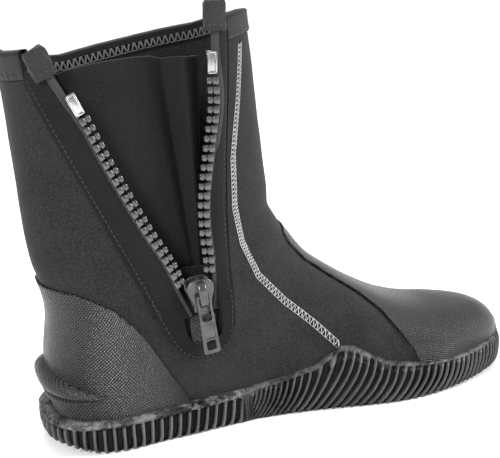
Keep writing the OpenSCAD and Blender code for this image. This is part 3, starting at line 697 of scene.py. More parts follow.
PLAN_STEPS = np.arange(0, len(SOLE_PLAN) - 0.99, 0.5)
plan_rows = np.maximum(rows(SOLE_PLAN, PLAN_STEPS[:-1]), [-200, 0, 0])
plan_rows = np.concatenate([plan_rows, SOLE_PLAN[-1:]])
OUTLINE = np.concatenate([
    np.stack([plan_rows[::-1, 0], -plan_rows[::-1, 1]], -1),
    np.stack([plan_rows[1:-1, 0], plan_rows[1:-1, 2]], -1),
])


def outline_at(c):
    """Point of the sole's outline; c goes once round from 0 to 1."""
    n = len(OUTLINE)
    i = np.floor(c * n).astype(int) % n
    f = (c * n - np.floor(c * n))[..., None]
    return OUTLINE[i] * (1 - f) + OUTLINE[(i + 1) % n] * f


def outline_out(c):
    """Outward way across the outline."""
    d = unit(outline_at((c + 0.006) % 1) - outline_at((c + 0.994) % 1))
    return np.stack([-d[..., 1], d[..., 0]], -1)


def outline_share(x, side):
    """Share c at which the outline passes x on one side."""
    n = len(OUTLINE)
    for i in range(n - 1):
        a, b = OUTLINE[i], OUTLINE[i + 1]
        if (a[0] - x) * (b[0] - x) <= 0 and (a[1] + b[1]) * side > 0:
            return (i + (x - a[0]) / (b[0] - a[0])) / n


BLOCK_X = -34.0
heel_from, heel_to = outline_share(BLOCK_X, INNER), outline_share(BLOCK_X, OUTER)
outline_length = distance_along(outline_at(np.linspace(0, 1, 4001) % 1))[-1]
RAND_BOTTOM = 0.4
RAND_STEP = 0.42
BLOCK_HALF = 2.8
RAND_GAP = 0.0006


def rand(name, c0, c1, pitch_at, rib_high, slant, foot, lip_height, material, node_name):
    """Ribbed rubber rand along part of the outline, with a plain lip along its top."""
    columns = int((c1 - c0) * outline_length / RAND_STEP)
    c = (c0 + (c1 - c0) * np.linspace(0, 1, columns)) % 1
    p, n = outline_at(c), outline_out(c)
    along = distance_along(p)
    length = along[-1]
    step = np.linalg.norm(np.diff(p, axis=0), axis=1)
    count = np.concatenate([[0], np.cumsum(step / pitch_at((p[1:, 0] + p[:-1, 0]) / 2))])
    b = np.linspace(0, 1, 26)[None, :]
    p, n, along, count = p[:, None], n[:, None], along[:, None], count[:, None]
    side = np.where(p[..., 1] > 0, 1, -1)
    toe_bumper = smooth((p[..., 0] - 118) / 24) * smooth((p[..., 1] + 14) / 22)
    height = table_at(RAND_TOP, p[..., 0]) - RAND_BOTTOM + 5.0 * toe_bumper
    below_lip = (1 - b) * height - lip_height
    pitch = pitch_at(p[..., 0])
    phase = count - side * slant(b, height, p[..., 0]) / pitch
    across = np.abs((phase % 1) * 2 - 1)
    ridge = 1 - smooth((across - 0.14) / 0.44)
    fade = smooth(below_lip / 1.3)
    ends = smooth((np.minimum(along, length - along) - BLOCK_HALF) / 0.8)
    place_at = np.stack(np.broadcast_arrays(p[..., 0], p[..., 1], height * b), -1)
    uneven = ripple(place_at, 3, 23)
    grooved = np.minimum(pitch / 4.5, 1) * fade * ends
    rib = grooved * (rib_high * (ridge * (1 + 0.1 * uneven) - 1) + 0.5 * ridge)
    heel_back = smooth((-p[..., 0] - 118) / 28)
    lip = 0.16 * lip_height * smooth(1 - np.abs(below_lip + lip_height * 0.45) / (lip_height * 0.6))
    bulge = np.sin(np.pi * b) * 1.2 - 0.7 * b + foot * (1 - b) ** 2 - 1.6 * (1 - b) ** 12
    round_top = 1.4 * smooth((b * height - height + 1.3) / 1.3)
    out = bulge + rib + lip * (1 + uneven) + 0.3 * uneven - round_top
    out = out + 3.0 * b * heel_back + 3.2 * b * toe_bumper
    q = p + n * out[..., None]
    rise = spring(p[..., 0]) + RAND_BOTTOM + height * b + 3.6 * heel_back * (1 - b) ** 2
    scallop = 1.1 * (1 - ridge) * grooved * (1 - b) ** 6
    outer = np.stack([q[..., 0], q[..., 1], rise + scallop + 0.4 * uneven * b], -1)
    w = p - n * (2.6 + 0.7 * b)[..., None]
    inner = np.stack([w[..., 0], w[..., 1], rise - 0.3 * b], -1)
    # the lip's last row turns in to rest on the upper
    foot_x, foot_y, top = p[:, 0, 0], p[:, 0, 1], rise[:, -1]
    x_low, x_high = -125, 112
    beside = (foot_x > x_low) & (foot_x < x_high)
    face = wall(np.clip(foot_x, x_low, x_high), top, np.where(foot_y > 0, OUTER, INNER))
    depth = np.where(beside, np.abs(foot_y) - np.abs(face[:, 1]) + 0.8, 5.5)
    rest = p[:, 0] - n[:, 0] * depth[:, None]
    outer = np.concatenate([outer, np.column_stack([rest, top + 0.9])[:, None]], 1)
    inner = np.concatenate([inner, np.column_stack([rest, top - 1.6])[:, None]], 1)
    # material coordinates: how far a rib stands out, which the rubber paints lighter as a highlight
    # on the crests, and the share of the rand's height
    coords = np.zeros(outer.shape)
    coords[:, :-1, 0] = ridge * grooved
    coords[:, :-1, 2] = b + np.zeros_like(along)
    coords[:, -1, 2] = 1.05
    finish_piece(slab(name, outer, inner, coords), material, "boot", node_name)


def heel_pitch(x):
    return np.full_like(x, 5.7)


def heel_slant(b, height, x):
    """Ribs lean a little toward the toe at the arch and stand upright round the heel."""
    return 3.4 * smooth((x + 120) / 70) * (b - 0.5)


def forefoot_pitch(x):
    """Fine ribs ahead of the block, widening to the ball and narrowing again to the toe."""
    return 2.9 + 2.8 * smooth((x + 34) / 50) - 1.6 * smooth((x - 60) / 60)


def forefoot_slant(b, height, x):
    """Ribs lean toward the toe, more strongly low down than high up."""
    return 0.52 * height * (1 - (1 - b) ** 1.7)


rand("heel_rand_ribs", heel_from, heel_to, heel_pitch, 2.6, heel_slant, 0.8, 3.2, "heel_rubber",
     "heel_rand")
rand("forefoot_rand_ribs", heel_to + RAND_GAP, 1 + heel_from - RAND_GAP, forefoot_pitch, 2.5,
     forefoot_slant, 0.4, 1.3, "rubber", "forefoot_rand")


def inset_outline(d):
    """The outline drawn in by about d all round."""
    return OUTLINE * np.array([1 - d / 150.0, 1 - d / 44.0])


def footbed():
    """Knit-faced foam footbed with a soft cup at the heel and a rounded edge."""
    base = 12.5 + 2 + 0.4
    rings = []
    for up, out in ((0.0, -1.5), (0.25, -0.4), (0.75, -0.1), (0.95, 0.0), (1.0, 0.6)):
        o = inset_outline(14 - out)
        rings.append(np.column_stack([o, base + 4 * up + spring(o[:, 0])]))
    for share in (0.97, 0.9, 0.75, 0.5, 0.25, 0.05):
        o = inset_outline(14.6) * share
        heel_cup = 0.8 * (1 - share) * smooth((-o[:, 0] - 40) / 50)
        rings.append(np.column_stack([o, base + 4 - 0.4 * (1 - share) - heel_cup + spring(o[:, 0])]))
    points, faces = capped(np.array(rings))
    obj = mesh_piece("footbed_foam", points, faces, points)
    finish_piece(obj, "foam", "boot", "footbed")


footbed()

# ------------------------------------------------------------------ neoprene panels

base_s = float(section_at(*FACING_REAR[0]))
seam_s = base_s - 1.0
seam_foot = float(section_at(*SEAM_LINE[0]))
TOE_S = 5.0
SEAM_GAP = 0.001


def sole_t(s):
    """Share at which the upper starts above the sole."""
    return np.where(s < HEEL_S - 1, 0.17, 0.17 * np.maximum(HEEL_S - s, 0))


def collar_rise(side, t):
    """How far the collar's edge rises over the section that it follows."""
    outer = 0.66 * np.clip(1 - t / 0.35, 0, 1) + 0.23 * np.clip((t - 0.75) / 0.25, 0, 1)
    front = 0.23 + 0.13 * np.clip((1 - t) / 0.14, 0, 1)
    return np.where(side > 0, outer, np.where(t < 0.4, 0.66, front))


def panel_top(side, t):
    return COLLAR_S - BAND_S + collar_rise(side, t)


def seam_t(s):
    return np.where(s < seam_foot, sole_t(s), np.maximum(t_cross(s, SEAM_LINE), sole_t(s) + 0.01))


def before_seam(s):
    return seam_t(s) - SEAM_GAP


def zip_t(s, line):
    """Edge of an inner quarter: along the sole, up to the foot of the zip, then up its facing."""
    low = sole_t(s)
    joined = t_cross(np.full_like(s, base_s + 0.005), line)
    rising = low + (joined - low) * (s - seam_s) / (base_s - seam_s)
    return np.where(s < seam_s, low,
                    np.where(s < base_s, rising, t_cross(np.maximum(s, base_s + 0.005), line)))


def rear_t(s):
    return zip_t(s, FACING_REAR) + 0.004


def front_t(s):
    return zip_t(s, FACING_FRONT) + 0.003


def soft(p, seed):
    """Gentle unevenness of a neoprene panel, in millimetres."""
    return 0.45 * ripple(p, seed, 85) + 0.15 * ripple(p, seed + 5, 31)


def panel(name, s0, top_of, side_of, low, high, grid, size, seed, body, node_name, fold=None):
    """Neoprene panel from section s0 to top_of, between the shares low and high of each section."""
    def surface(a, b, g):
        side, share = side_of(b)
        collar = np.full_like(a, COLLAR_S)
        t_end = low(collar) + (high(collar) - low(collar)) * share
        s = s0 + (top_of(side, t_end) - s0) * a
        t = low(s) + (high(s) - low(s)) * share
        flat = sock(s, t, side, 0.0)
        extra = soft(flat, seed) * smooth(a * 6) * smooth((1 - a) * 6)
        if fold is not None:
            extra = extra + fold(flat)
        return sock(s, t, side, g + extra)
    shell(name, surface, grid, size, -WALL_THICK, 0.0, 1.1, "neoprene", body, node_name)


def share_of(side, start=0.0, end=1.0):
    """Spread of a panel over one side, or over part of the width between its two edges."""
    return lambda b: (np.full_like(b, side), start + (end - start) * b)


def both_sides(b):
    """Spread of a panel from its edge on the inner side over the front to the outer side."""
    return np.where(b < 0.5, INNER, OUTER), 1 - np.abs(2 * b - 1)


def ones(s):
    return np.ones_like(s)


def ankle_fold(p):
    """Two shallow creases where the shaft bends over the instep."""
    reach = smooth((p[..., 0] + 48) / 30)
    level = p[..., 2] - 0.35 * (p[..., 0] + 10)
    return reach * (0.9 * bell(level, 112, 8.0) - 1.3 * bell(level, 128, 6.0))


def plain_top(side, t):
    return np.full_like(t, TOE_S - 0.02)


panel("toe_panel_knit", 0.0, plain_top, both_sides, sole_t, ones, (30, 70), (60, 130), 1, "boot",
      "toe_panel")
panel("front_panel_knit", TOE_S + 0.02, panel_top, both_sides, seam_t, ones, (150, 110), (280, 150),
      2, FRONT_BLEND, "front_panel", ankle_fold)
panel("medial_front_knit", seam_foot + 0.05, panel_top, share_of(INNER), front_t, before_seam,
      (150, 34), (230, 40), 4, FRONT_BLEND, "medial_front_quarter")
panel("medial_rear_knit", seam_s, panel_top, share_of(INNER), sole_t, rear_t, (150, 50), (230, 70),
      6, REAR_BLEND, "medial_rear_quarter")


# the outer side is two overlapping parts; only its rear is given the rear flap's blend
for name, start, end, body, proud in (("lateral_rear_knit", 0.0, 0.53, REAR_BLEND, 0.0),
                                      ("lateral_front_knit", 0.5, 1.0, "boot", 0.06)):
    panel(name, seam_foot + 0.05, panel_top, share_of(OUTER, start, end), sole_t, before_seam,
          (150, 50), (230, 80), 8, body, "lateral_quarter", lambda p: proud)


def arch_cover():
    """Neoprene of the inner quarter carried on without a seam below the foot of the zip."""
    low, high, rear, front = 15.0, 62.0, -80.0, -12.0

    def surface(a, b, g):
        z = low + (high - low) * a
        x = rear + (front - rear) * b
        sunk = 2.4 * (1 - smooth(np.minimum(b, 1 - b) / 0.3)) + 2.4 * smooth((z - 52) / 9)
        return wall(x, z, INNER, g - sunk)
    shell("arch_knit", surface, (60, 60), (high - low, front - rear), -2.6, 0.75, 0.6, "neoprene",
          "boot", "medial_rear_quarter")


arch_cover()

# ------------------------------------------------------------------ rubber overlays

CAP_S = 10.6
cap_corner_s = float(section_at(*CAP_LINE[1]))
OVERLAY_FOOT = -0.4
OVERLAY_OUT = 1.9
OVERLAY_EDGE = 0.9


def cap_t(s):
    """Share at which the toe cap starts: above the rand, then along its own edge."""
    r = rows(SECTIONS, s)
    rand_t = t_height(s, table_at(RAND_TOP, r[..., 2]) + spring(r[..., 2]) - 2.5)
    return np.where(s < cap_corner_s, rand_t, np.maximum(t_cross(s, CAP_LINE), rand_t))


def along_foot(points):
    """Material coordinates that run down the instep to the toe, and round it from the middle."""
    coords = arc_coords(points)
    coords[..., 0] = 0.8 * points[..., 0] - 0.6 * points[..., 2]
    return coords


def toe_cap():
    """Rubber over the toes, carried up the instep as a narrowing strip."""
    def surface(a, b, g):
        side, share = both_sides(b)
        s = CAP_S * (0.02 + 0.98 * a)
        t = cap_t(s)
        t = t + (1 - t) * share
        return sock(s, t, side, g)
    shell("toe_cap_rubber", surface, (150, 150), (180, 110), OVERLAY_FOOT, OVERLAY_OUT, OVERLAY_EDGE,
          "cap", "boot", "toe_cap", coords_of=along_foot)


toe_cap()

heel_s_table = np.arange(11.5, 16.01, 0.125)
heel_back = rows(SECTIONS, heel_s_table)[:, [3, 2]]
COUNTER_BACK, COUNTER_X = COUNTER_LINE[0, 0], COUNTER_LINE[-1, 0]


def heel_point(w, z, g):
    """Point round the heel: w from -1 on the inner side through 0 at the back to 1."""
    w, z, g = arrays(w, z, g)
    back = np.interp(z, heel_back[:, 0], heel_back[:, 1])
    k = 1 - np.cos(np.pi / 2 * np.abs(w))
    x = back + 0.2 + (COUNTER_X - back) * k
    back_g = 0.8 * g
    p = wall(x - back_g * (1 - k), z, np.where(w < 0, INNER, OUTER), g)
    rear = np.stack([back - back_g, np.zeros_like(x), z], -1)
    return np.where((np.abs(w) < 0.001)[..., None], rear, p)


def counter_top(w):
    """Height of the counter's upper edge."""
    x = COUNTER_BACK + (COUNTER_X - COUNTER_BACK) * (1 - np.cos(np.pi / 2 * np.abs(w)))
    return table_at(COUNTER_LINE, x)


def even_w(b, reach=1.0):
    """Shares round the heel spaced so that the columns are about equally wide."""
    w = np.linspace(-reach, reach, 801)
    along = distance_along(heel_point(w, 40.0, 1.0))
    return np.interp(b * along[-1], along, w)


def heel_counter():
    """Rubber round the back of the heel, from under the rand's lip to its own curved edge."""
    low = 16.0

    def surface(a, b, g):
        w = even_w(b)
        return heel_point(w, low + (counter_top(w) - low) * a, g)
    shell("heel_counter_rubber", surface, (70, 150), (70, 190), OVERLAY_FOOT, OVERLAY_OUT,
          OVERLAY_EDGE, "overlay", "boot", "heel_counter")


heel_counter()


def fin_ledge():
    """Moulded ledge round the heel: an upper roll, a groove and a lower roll, running to points."""
    low, high, reach, span = 29.5, 47.0, 7.6, 0.57

    def half_round(a, middle, half):
        return np.sqrt(np.maximum(1 - ((a - middle) / half) ** 2, 0))

    def surface(a, b, g):
        w = even_w(b, span)
        end = np.abs(w) / span
        taper = np.cos(np.pi / 2 * end) ** 0.8
        rolls = half_round(a, 0.65, 0.35) + 0.5 * half_round(a, 0.13, 0.13)
        z = (low + high) / 2 + (high - low) * (a - 0.5) * (0.12 + 0.88 * taper) - 4.7 * end
        return heel_point(w, z, OVERLAY_OUT - 0.5 + (g > 0) * (0.2 + reach * taper * rolls))
    a, b = np.meshgrid(np.linspace(0, 1, 72), np.linspace(0, 1, 130), indexing="ij")
    obj = slab("fin_ledge_rubber", surface(a, b, np.ones_like(a)), surface(a, b, np.zeros_like(a)))
    finish_piece(obj, "overlay", "boot", "fin_strap_ledge")


fin_ledge()

# ------------------------------------------------------------------ seams

def zigzag(name, line_of, length, width, pitch, radius, lift, material, blend, node_name):
    """Flatlock seam: a zigzag of thread between two straight rails."""
    n = int(length / pitch)
    path = np.array([(k + share, across * width) for k in range(n + 1) for across, share in
                     ((-0.5, 0.0), (-0.5, 0.12), (0.5, 0.5), (0.5, 0.62))])
    corners = np.arange(len(path))
    fine = np.linspace(0, len(path) - 1, len(path) * 3)
    share = np.interp(fine, corners, np.clip(path[:, 0] / (n + 0.7), 0, 1))
    across = np.interp(fine, corners, path[:, 1])
    bulge = lift + 0.25 * (1 - (2 * across / width) ** 2)
    parts = [tube(line_of(share, across, bulge), radius)]
    for side in (-0.5, 0.5):
        share = np.linspace(0, 1, int(length / 1.2))
        rail = line_of(share, np.full_like(share, side * width), np.full_like(share, 0.15))
        parts.append(tube(rail, radius * 0.75))
    finish_piece(join_parts(name, parts), material, blend, node_name)


seam_from = float(section_at(26.5, 40.5))


def flatlock(side, name, node_name, blend):
    """Seam between the front panel and a quarter, up to the binding."""
    def line_of(share, across, lift):
        top = COLLAR_S - BAND_S - 0.02 + (0.15 if side < 0 else 0)
        s = seam_from + (top - seam_from) * share
        return sock(s, seam_t(s) + across / section(s)[3] / 1.6, side, lift)
    zigzag(name, line_of, 238, 4.4, 2.9, 0.27, 0.3, "thread", blend, node_name)


flatlock(INNER, "seam_medial_thread", "seam_medial", FRONT_BLEND)
flatlock(OUTER, "seam_lateral_thread", "seam_lateral", FRONT_BLEND)

# ------------------------------------------------------------------ collar

def collar_point(c, a, g):
    """Round the collar from the rear flap by the back and outer side to the front flap."""
    c, a, g = arrays(c, a, g)
    top_rear = float(t_cross(np.array(COLLAR_S), FACING_REAR)) + 0.012
    top_front = float(t_cross(np.array(COLLAR_S + 0.5), FACING_FRONT)) - 0.02
    side = np.where((c >= 0.25) & (c < 0.75), OUTER, INNER)
    t = np.where(c < 0.25, top_rear * (1 - 4 * c),
                 np.where(c < 0.75, 2 * c - 0.5, 1 - (1 - top_front) * (4 * c - 3)))
    s = panel_top(side, t) + BAND_S * a
    return sock(s, t, side, g)


collar_shares = np.linspace(0, 1, 601)
collar_length = distance_along(collar_point(collar_shares, 0.5, 0.0))


def even_collar(b):
    return np.interp(b * collar_length[-1], collar_length, collar_shares)


BIND_OUT, BIND_THICK = 0.9, 0.55


def binding(name, b0, b1, blend):
    """Tape folded over the collar: down the outside, over the top and down the inside."""
    down, turn = np.arange(9) / 8, math.pi * np.arange(1, 12) / 12
    up = np.concatenate([0.94 * down, 0.94 + 0.09 * np.sin(turn), 0.94 - 0.24 * down])[:, None]
    half = WALL_THICK / 2
    g = np.concatenate([0 * down + BIND_OUT, (half + BIND_OUT) * np.cos(turn) - half,
                        0 * down - WALL_THICK - BIND_OUT])[:, None]
    b = np.linspace(b0, b1, 220)
    c = even_collar(b)[None, :]
    along = (b * collar_length[-1])[None, :]
    pucker = 0.22 * np.sin(along * 2 * math.pi / 5.2) * smooth(1 - np.abs(up - 0.15) / 0.3)
    sway = 0.35 * np.sin(along * 2 * math.pi / 37) + 0.2 * np.sin(along * 2 * math.pi / 13 + 1)
    edge = 1 - 1.4 * np.exp(-up * 9)
    sign = np.where(g > -half, 1, -1)
    outer = collar_point(c, up + 0.012 * sway, g + sign * (pucker + 0.25 * edge))
    inner = collar_point(c, up * 0.985 + 0.012 * sway, g - sign * BIND_THICK)
    coords = arc_coords(outer)
    # surface z is 1 on the tape's top turn and inside face, which the tape paints darker as shade
    coords[..., 2] = np.minimum(smooth((up - 0.9) / 0.08) + (g < 0), 1)
    finish_piece(slab(name, outer, inner, coords), "binding", blend, "collar_binding")


binding("collar_binding_rear", 0.0, 0.52, REAR_BLEND)
binding("collar_binding_front", 0.515, 1.0, FRONT_BLEND)


def collar_core(name, b0, b1, blend):
    """Neoprene inside the binding, seen from within the boot, painted darker as shade."""
    def surface(a, b, g):
        return collar_point(even_collar(b0 + (b1 - b0) * b), -0.03 + 0.97 * a, g)
    shell(name, surface, (10, 150), (11, 200), -WALL_THICK, 0.2, 1.0, "shaded_lining", blend,
          "collar_binding")


collar_core("collar_core_rear", 0.01, 0.52, REAR_BLEND)
collar_core("collar_core_front", 0.518, 0.985, FRONT_BLEND)


def binding_stitch(name, b0, b1, blend):
    """Running stitch along the outside of the binding."""
    c = even_collar(np.linspace(b0, b1, 400))
    p, q = (collar_point(c, 0.14, BIND_OUT + 0.3 + lift) for lift in (0, 1))
    finish_piece(dashes(name, p, 2.0, 3.4, 0.26, unit(q - p)), "dim_thread", blend)


binding_stitch("binding_stitch_rear", 0.004, 0.518, REAR_BLEND)
binding_stitch("binding_stitch_front", 0.518, 0.996, FRONT_BLEND)


def inner_zigzag(name, b0, b1, blend):
    """Zigzag over the seam inside the collar."""
    def line_of(share, across, lift):
        c = even_collar(b0 + (b1 - b0) * share)
        return collar_point(c, 0.44 + across / 11, -WALL_THICK - 0.1 - lift)
    zigzag(name, line_of, (b1 - b0) * collar_length[-1], 5.0, 4.2, 0.5, 0.35, "dark_thread", blend,
           "collar_stitch")


inner_zigzag("collar_zigzag_rear", 0.03, 0.53, REAR_BLEND)
inner_zigzag("collar_zigzag_front", 0.53, 0.97, FRONT_BLEND)

# ------------------------------------------------------------------ gusset

GUSSET_LOW, GUSSET_TOP = 58.0, 222.0


def gusset():
    """Sheet folded in behind the open zip, with two soft upright folds and a thin light edge."""
    def surface(a, b, g):
        z = GUSSET_LOW + (GUSSET_TOP - GUSSET_LOW) * a
        k = z - APEX[1]
        rear = APEX[0] - 4 + np.where(k > 0, k * math.tan(math.radians(REAR_LEAN)) * 0.97, 0.25 * k)
        front = APEX[0] + 4 + np.where(k > 0, k * math.tan(math.radians(FRONT_LEAN)), -0.15 * k)
        x = rear + (front - rear) * b
        y = -29.5 + (z - GUSSET_LOW) * 10 / (GUSSET_TOP - GUSSET_LOW)
        open_up = smooth((a - 0.12) / 0.6)
        fold = open_up * (7.0 * bell(b, 0.74, 0.075)
                          - 4.5 * bell(b, 0.88, 0.075)
                          + 2.5 * bell(b, 0.98, 0.04)
                          - 3.0 * bell(b, 0.38, 0.26))
        top = a ** 6 * (3.5 * np.sin(np.pi * b ** 0.8) - 3.0 * (1 - b) ** 2
                        - 2.2 * bell(b, 0.75, 0.06))
        y = y + fold - 3.5 * (1 - b) ** 3 * open_up
        return np.stack([x, y + g, z + top], -1)
    a, b, drop = rounded_grid(90, 110, 160, 80, 0.8)
    obj = slab("gusset_sheet", surface(a, b, drop), surface(a, b, np.full_like(a, 2.2)))
    finish_piece(obj, "gusset", "boot", "zip_gusset")
    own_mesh(obj)
    return obj


gusset_sheet = gusset()

# ------------------------------------------------------------------ zip facings

U_OUTER = np.array([
    [-93, 92], [-80, 64], [-71, 53], [-59, 48], [-47, 52], [-40.7, 64], [-40.8, 98]])
U_INNER = np.array([
    [-71, 80], [-69.5, 67], [-65.5, 60], [-59, 58], [-52.5, 60], [-48.8, 65.5], [-49.5, 84]])
BAND_FROM = 161.0
FACING_RISE = 1.5
FACING_STITCH = (1.7, 3.2, 0.22)  # length, pitch and radius


def front_curl(k):
    """The front edge hangs in a slow S: toward the heel low down, toward the toe higher up."""
    k = np.asarray(k, float)
    back = -3.2 * bell(k, 62, 26) * smooth((k - 20) / 25)
    return back + 3.0 * bell(k, 124, 22) * smooth((160 - k) / 20)


def rear_curl(k):
    """The rear edge bows a little toward the toe at both ends."""
    k = np.asarray(k, float)
    return -1.6 * bell(k, 38, 16) - 1.6 * bell(k, 140, 25)


def base_facing():
    """U of facing round the bottom of the zip."""
    def surface(a, b, g):
        i = a * (len(U_OUTER) - 1)
        p = rows(U_INNER, i) * b[..., None] + rows(U_OUTER, i) * (1 - b)[..., None]
        return wall(p[..., 0], p[..., 1], INNER, g)
    shell("zip_base_cloth", surface, (70, 22), (90, 14), -4.0, FACING_RISE, 1.0, "facing", "boot",
          "zip_facing_base", relief=lambda a, b: -0.7 * smooth((np.abs(a - 0.5) - 0.28) / 0.22))


base_facing()


def facing_surface(f, line, curl):
    """Surface of a flap's facing: k along the chain, w from the chain to the outer edge."""
    def surface(k, w, g):
        inside = in_frame(f, 7.4 + curl(k), 0.2, k)
        z = inside[..., 2] + (line[0][1] - APEX[1]) * (1 - k / EDGE_LENGTH) * 0.95
        x = np.interp(z, line[:, 1], line[:, 0])
        outside = wall(x, z, INNER, -0.6)
        swell = 1.3 * np.sin(np.pi * np.clip(w, 0, 1)) ** 0.8
        p = inside + (outside - inside) * w[..., None]
        return p + f[1] * (g + swell)[..., None]
    return surface


def facing(side, f, line, curl, blend, thread_w):
    """Facing along one edge of the zip, with its rows of stitches."""
    surface = facing_surface(f, line, curl)

    def sheet(a, b, g):
        return surface(1 + (BAND_FROM + 1.5) * a, b, g)
    shell(side + "_facing_cloth", sheet, (150, 26), (150, 14), -2.6, 0.9, 0.9, "facing", blend,
          side + "_facing")
    k = np.linspace(2, BAND_FROM, 300)
    for number, w in enumerate(thread_w):
        p = surface(k, np.full_like(k, w), np.full_like(k, 0.95))
        out = np.tile(f[1], (len(k), 1))
        finish_piece(dashes(f"{side}_facing_stitch_{number}", p, *FACING_STITCH, out),
                     "dim_thread", blend)


facing("rear", rear_frame, FLAP_REAR_LINE, rear_curl, REAR_BLEND, (0.84,))
facing("front", front_frame, FLAP_FRONT_LINE, front_curl, FRONT_BLEND, (0.8,))


def base_stitch():
    """Running stitch round the U of facing."""
    i = np.linspace(0.15, len(U_OUTER) - 1.15, 200)
    p = rows(U_OUTER, i) * 0.84 + rows(U_INNER, i) * 0.16
    q = wall(p[:, 0], p[:, 1], INNER, FACING_RISE + 0.1)
    out = unit(wall(p[:, 0], p[:, 1], INNER, FACING_RISE + 1.1) - q)
    finish_piece(dashes("zip_base_stitch", q, *FACING_STITCH, out), "dim_thread", "boot")


base_stitch()


def anchor_patch():
    """Coarse woven patch joining the two tapes below the slider."""
    def surface(a, b, g):
        return wall(-66.5 + 15 * b, 59.5 + 16 * a, INNER, g)
    shell("anchor_patch_weave", surface, (60, 60), (16, 15), -4.0, -1.2, 0.6, "patch", "boot",
          "zip_anchor_patch",
          relief=lambda a, b: 0.45 * np.sin(a * math.pi * 9) * np.sin(b * math.pi * 9))


anchor_patch()


def base_backing():
    """Cloth behind the slider that closes the foot of the zip, under the facing and the tapes."""
    def surface(a, b, g):
        z = 53 + 50 * a
        rear = np.interp(z, [53, 64, 81, 103], [-66, -77, -86, -95])
        front = np.interp(z, [53, 64, 103], [-50, -42, -42])
        p = wall(rear + (front - rear) * b, z, INNER, -3.2)
        sunk = 5 * smooth((z - 74) / 26) * np.sin(np.pi * b)
        p[..., 1] += sunk - g
        return p
    shell("zip_base_backing", surface, (50, 40), (50, 40), -1.8, 0.0, 0.6, "facing", "boot",
          "zip_anchor_patch")


base_backing()

# ------------------------------------------------------------------ tapes, teeth and stops

def zip_tape(side, f, curl):
    """Woven tape beside the teeth, with a rolled edge where it meets the facing."""
    def surface(a, b, g):
        k = 2 + (BAND_FROM + 1 - 2) * a
        across = 5.6 + 4.2 * b
        hump = 0.5 * np.sin(np.pi * b)
        return in_frame(f, across + curl(k), g + hump, k)
    shell(side + "_tape_weave", surface, (160, 12), (150, 4.2), -0.6, 0.65, 0.4, "zip_tape",
          side + "_flap", side + "_tape")


def box_part(x0, x1, y0, y1, z0, z1, taper=0.0):
    """Small block, narrower toward x0 by taper."""
    c, h = (z0 + z1) / 2, (z1 - z0) / 2
    m, w = (y0 + y1) / 2, (y1 - y0) / 2
    t = 1 - taper
    points = np.array([
        [x0, m - w * t, c - h * t], [x0, m + w * t, c - h * t], [x0, m + w * t, c + h * t],
        [x0, m - w * t, c + h * t],
        [x1, m - w, c - h], [x1, m + w, c - h], [x1, m + w, c + h], [x1, m - w, c + h]])
    faces = [(0, 1, 2, 3), (7, 6, 5, 4), (0, 4, 5, 1), (1, 5, 6, 2), (2, 6, 7, 3), (3, 7, 4, 0)]
    return points, outward(points, faces), points


TEETH, TOOTH_PITCH, FIRST_TOOTH = 21, 5.4, 23.5
STOP_FROM = FIRST_TOOTH + TEETH * TOOTH_PITCH


def teeth(side, f, shift, curl):
    """Chunky moulded teeth: a head, a narrow neck and a block gripping the tape."""
    parts = []
    for i in range(TEETH):
        z = FIRST_TOOTH + shift + i * TOOTH_PITCH
        dx = float(curl(np.array(z)))
        parts.append(box_part(0.3 + dx, 2.7 + dx, -1.9, 1.9, z - 2.0, z + 2.0, 0.22))
        parts.append(box_part(2.5 + dx, 3.9 + dx, -1.5, 1.5, z - 1.2, z + 1.2))
        parts.append(box_part(3.6 + dx, 6.9 + dx, -2.4, 2.4, z - 2.15, z + 2.15, 0.1))
    obj = bevelled(join_parts(side + "_teeth_moulded", parts), 0.5)
    hard_piece(obj, f, "tooth", side + "_flap", side + "_teeth")


def top_stop(side, f, shift, curl):
    """Folded bright clip above the last tooth: a raised frame round a sunken middle."""
    z0, z1 = STOP_FROM + shift - 1.5, STOP_FROM + shift + 11
    dx = float(curl(np.array((z0 + z1) / 2)))
    x0, x1 = 1.7 + dx, 7.2 + dx
    parts = [box_part(x0, x1, -2.1, 2.0, z0, z1)]
    for a, b, c, d in ((x0, x0 + 1.1, z0, z1), (x1 - 1.1, x1, z0, z1),
                       (x0, x1, z0, z0 + 1.2), (x0, x1, z1 - 1.2, z1)):
        parts.append(box_part(a, b, 1.6, 2.75, c, d))
    obj = bevelled(join_parts(side + "_top_clip", parts), 0.25)
    hard_piece(obj, f, "clip", side + "_flap", side + "_top_stop")


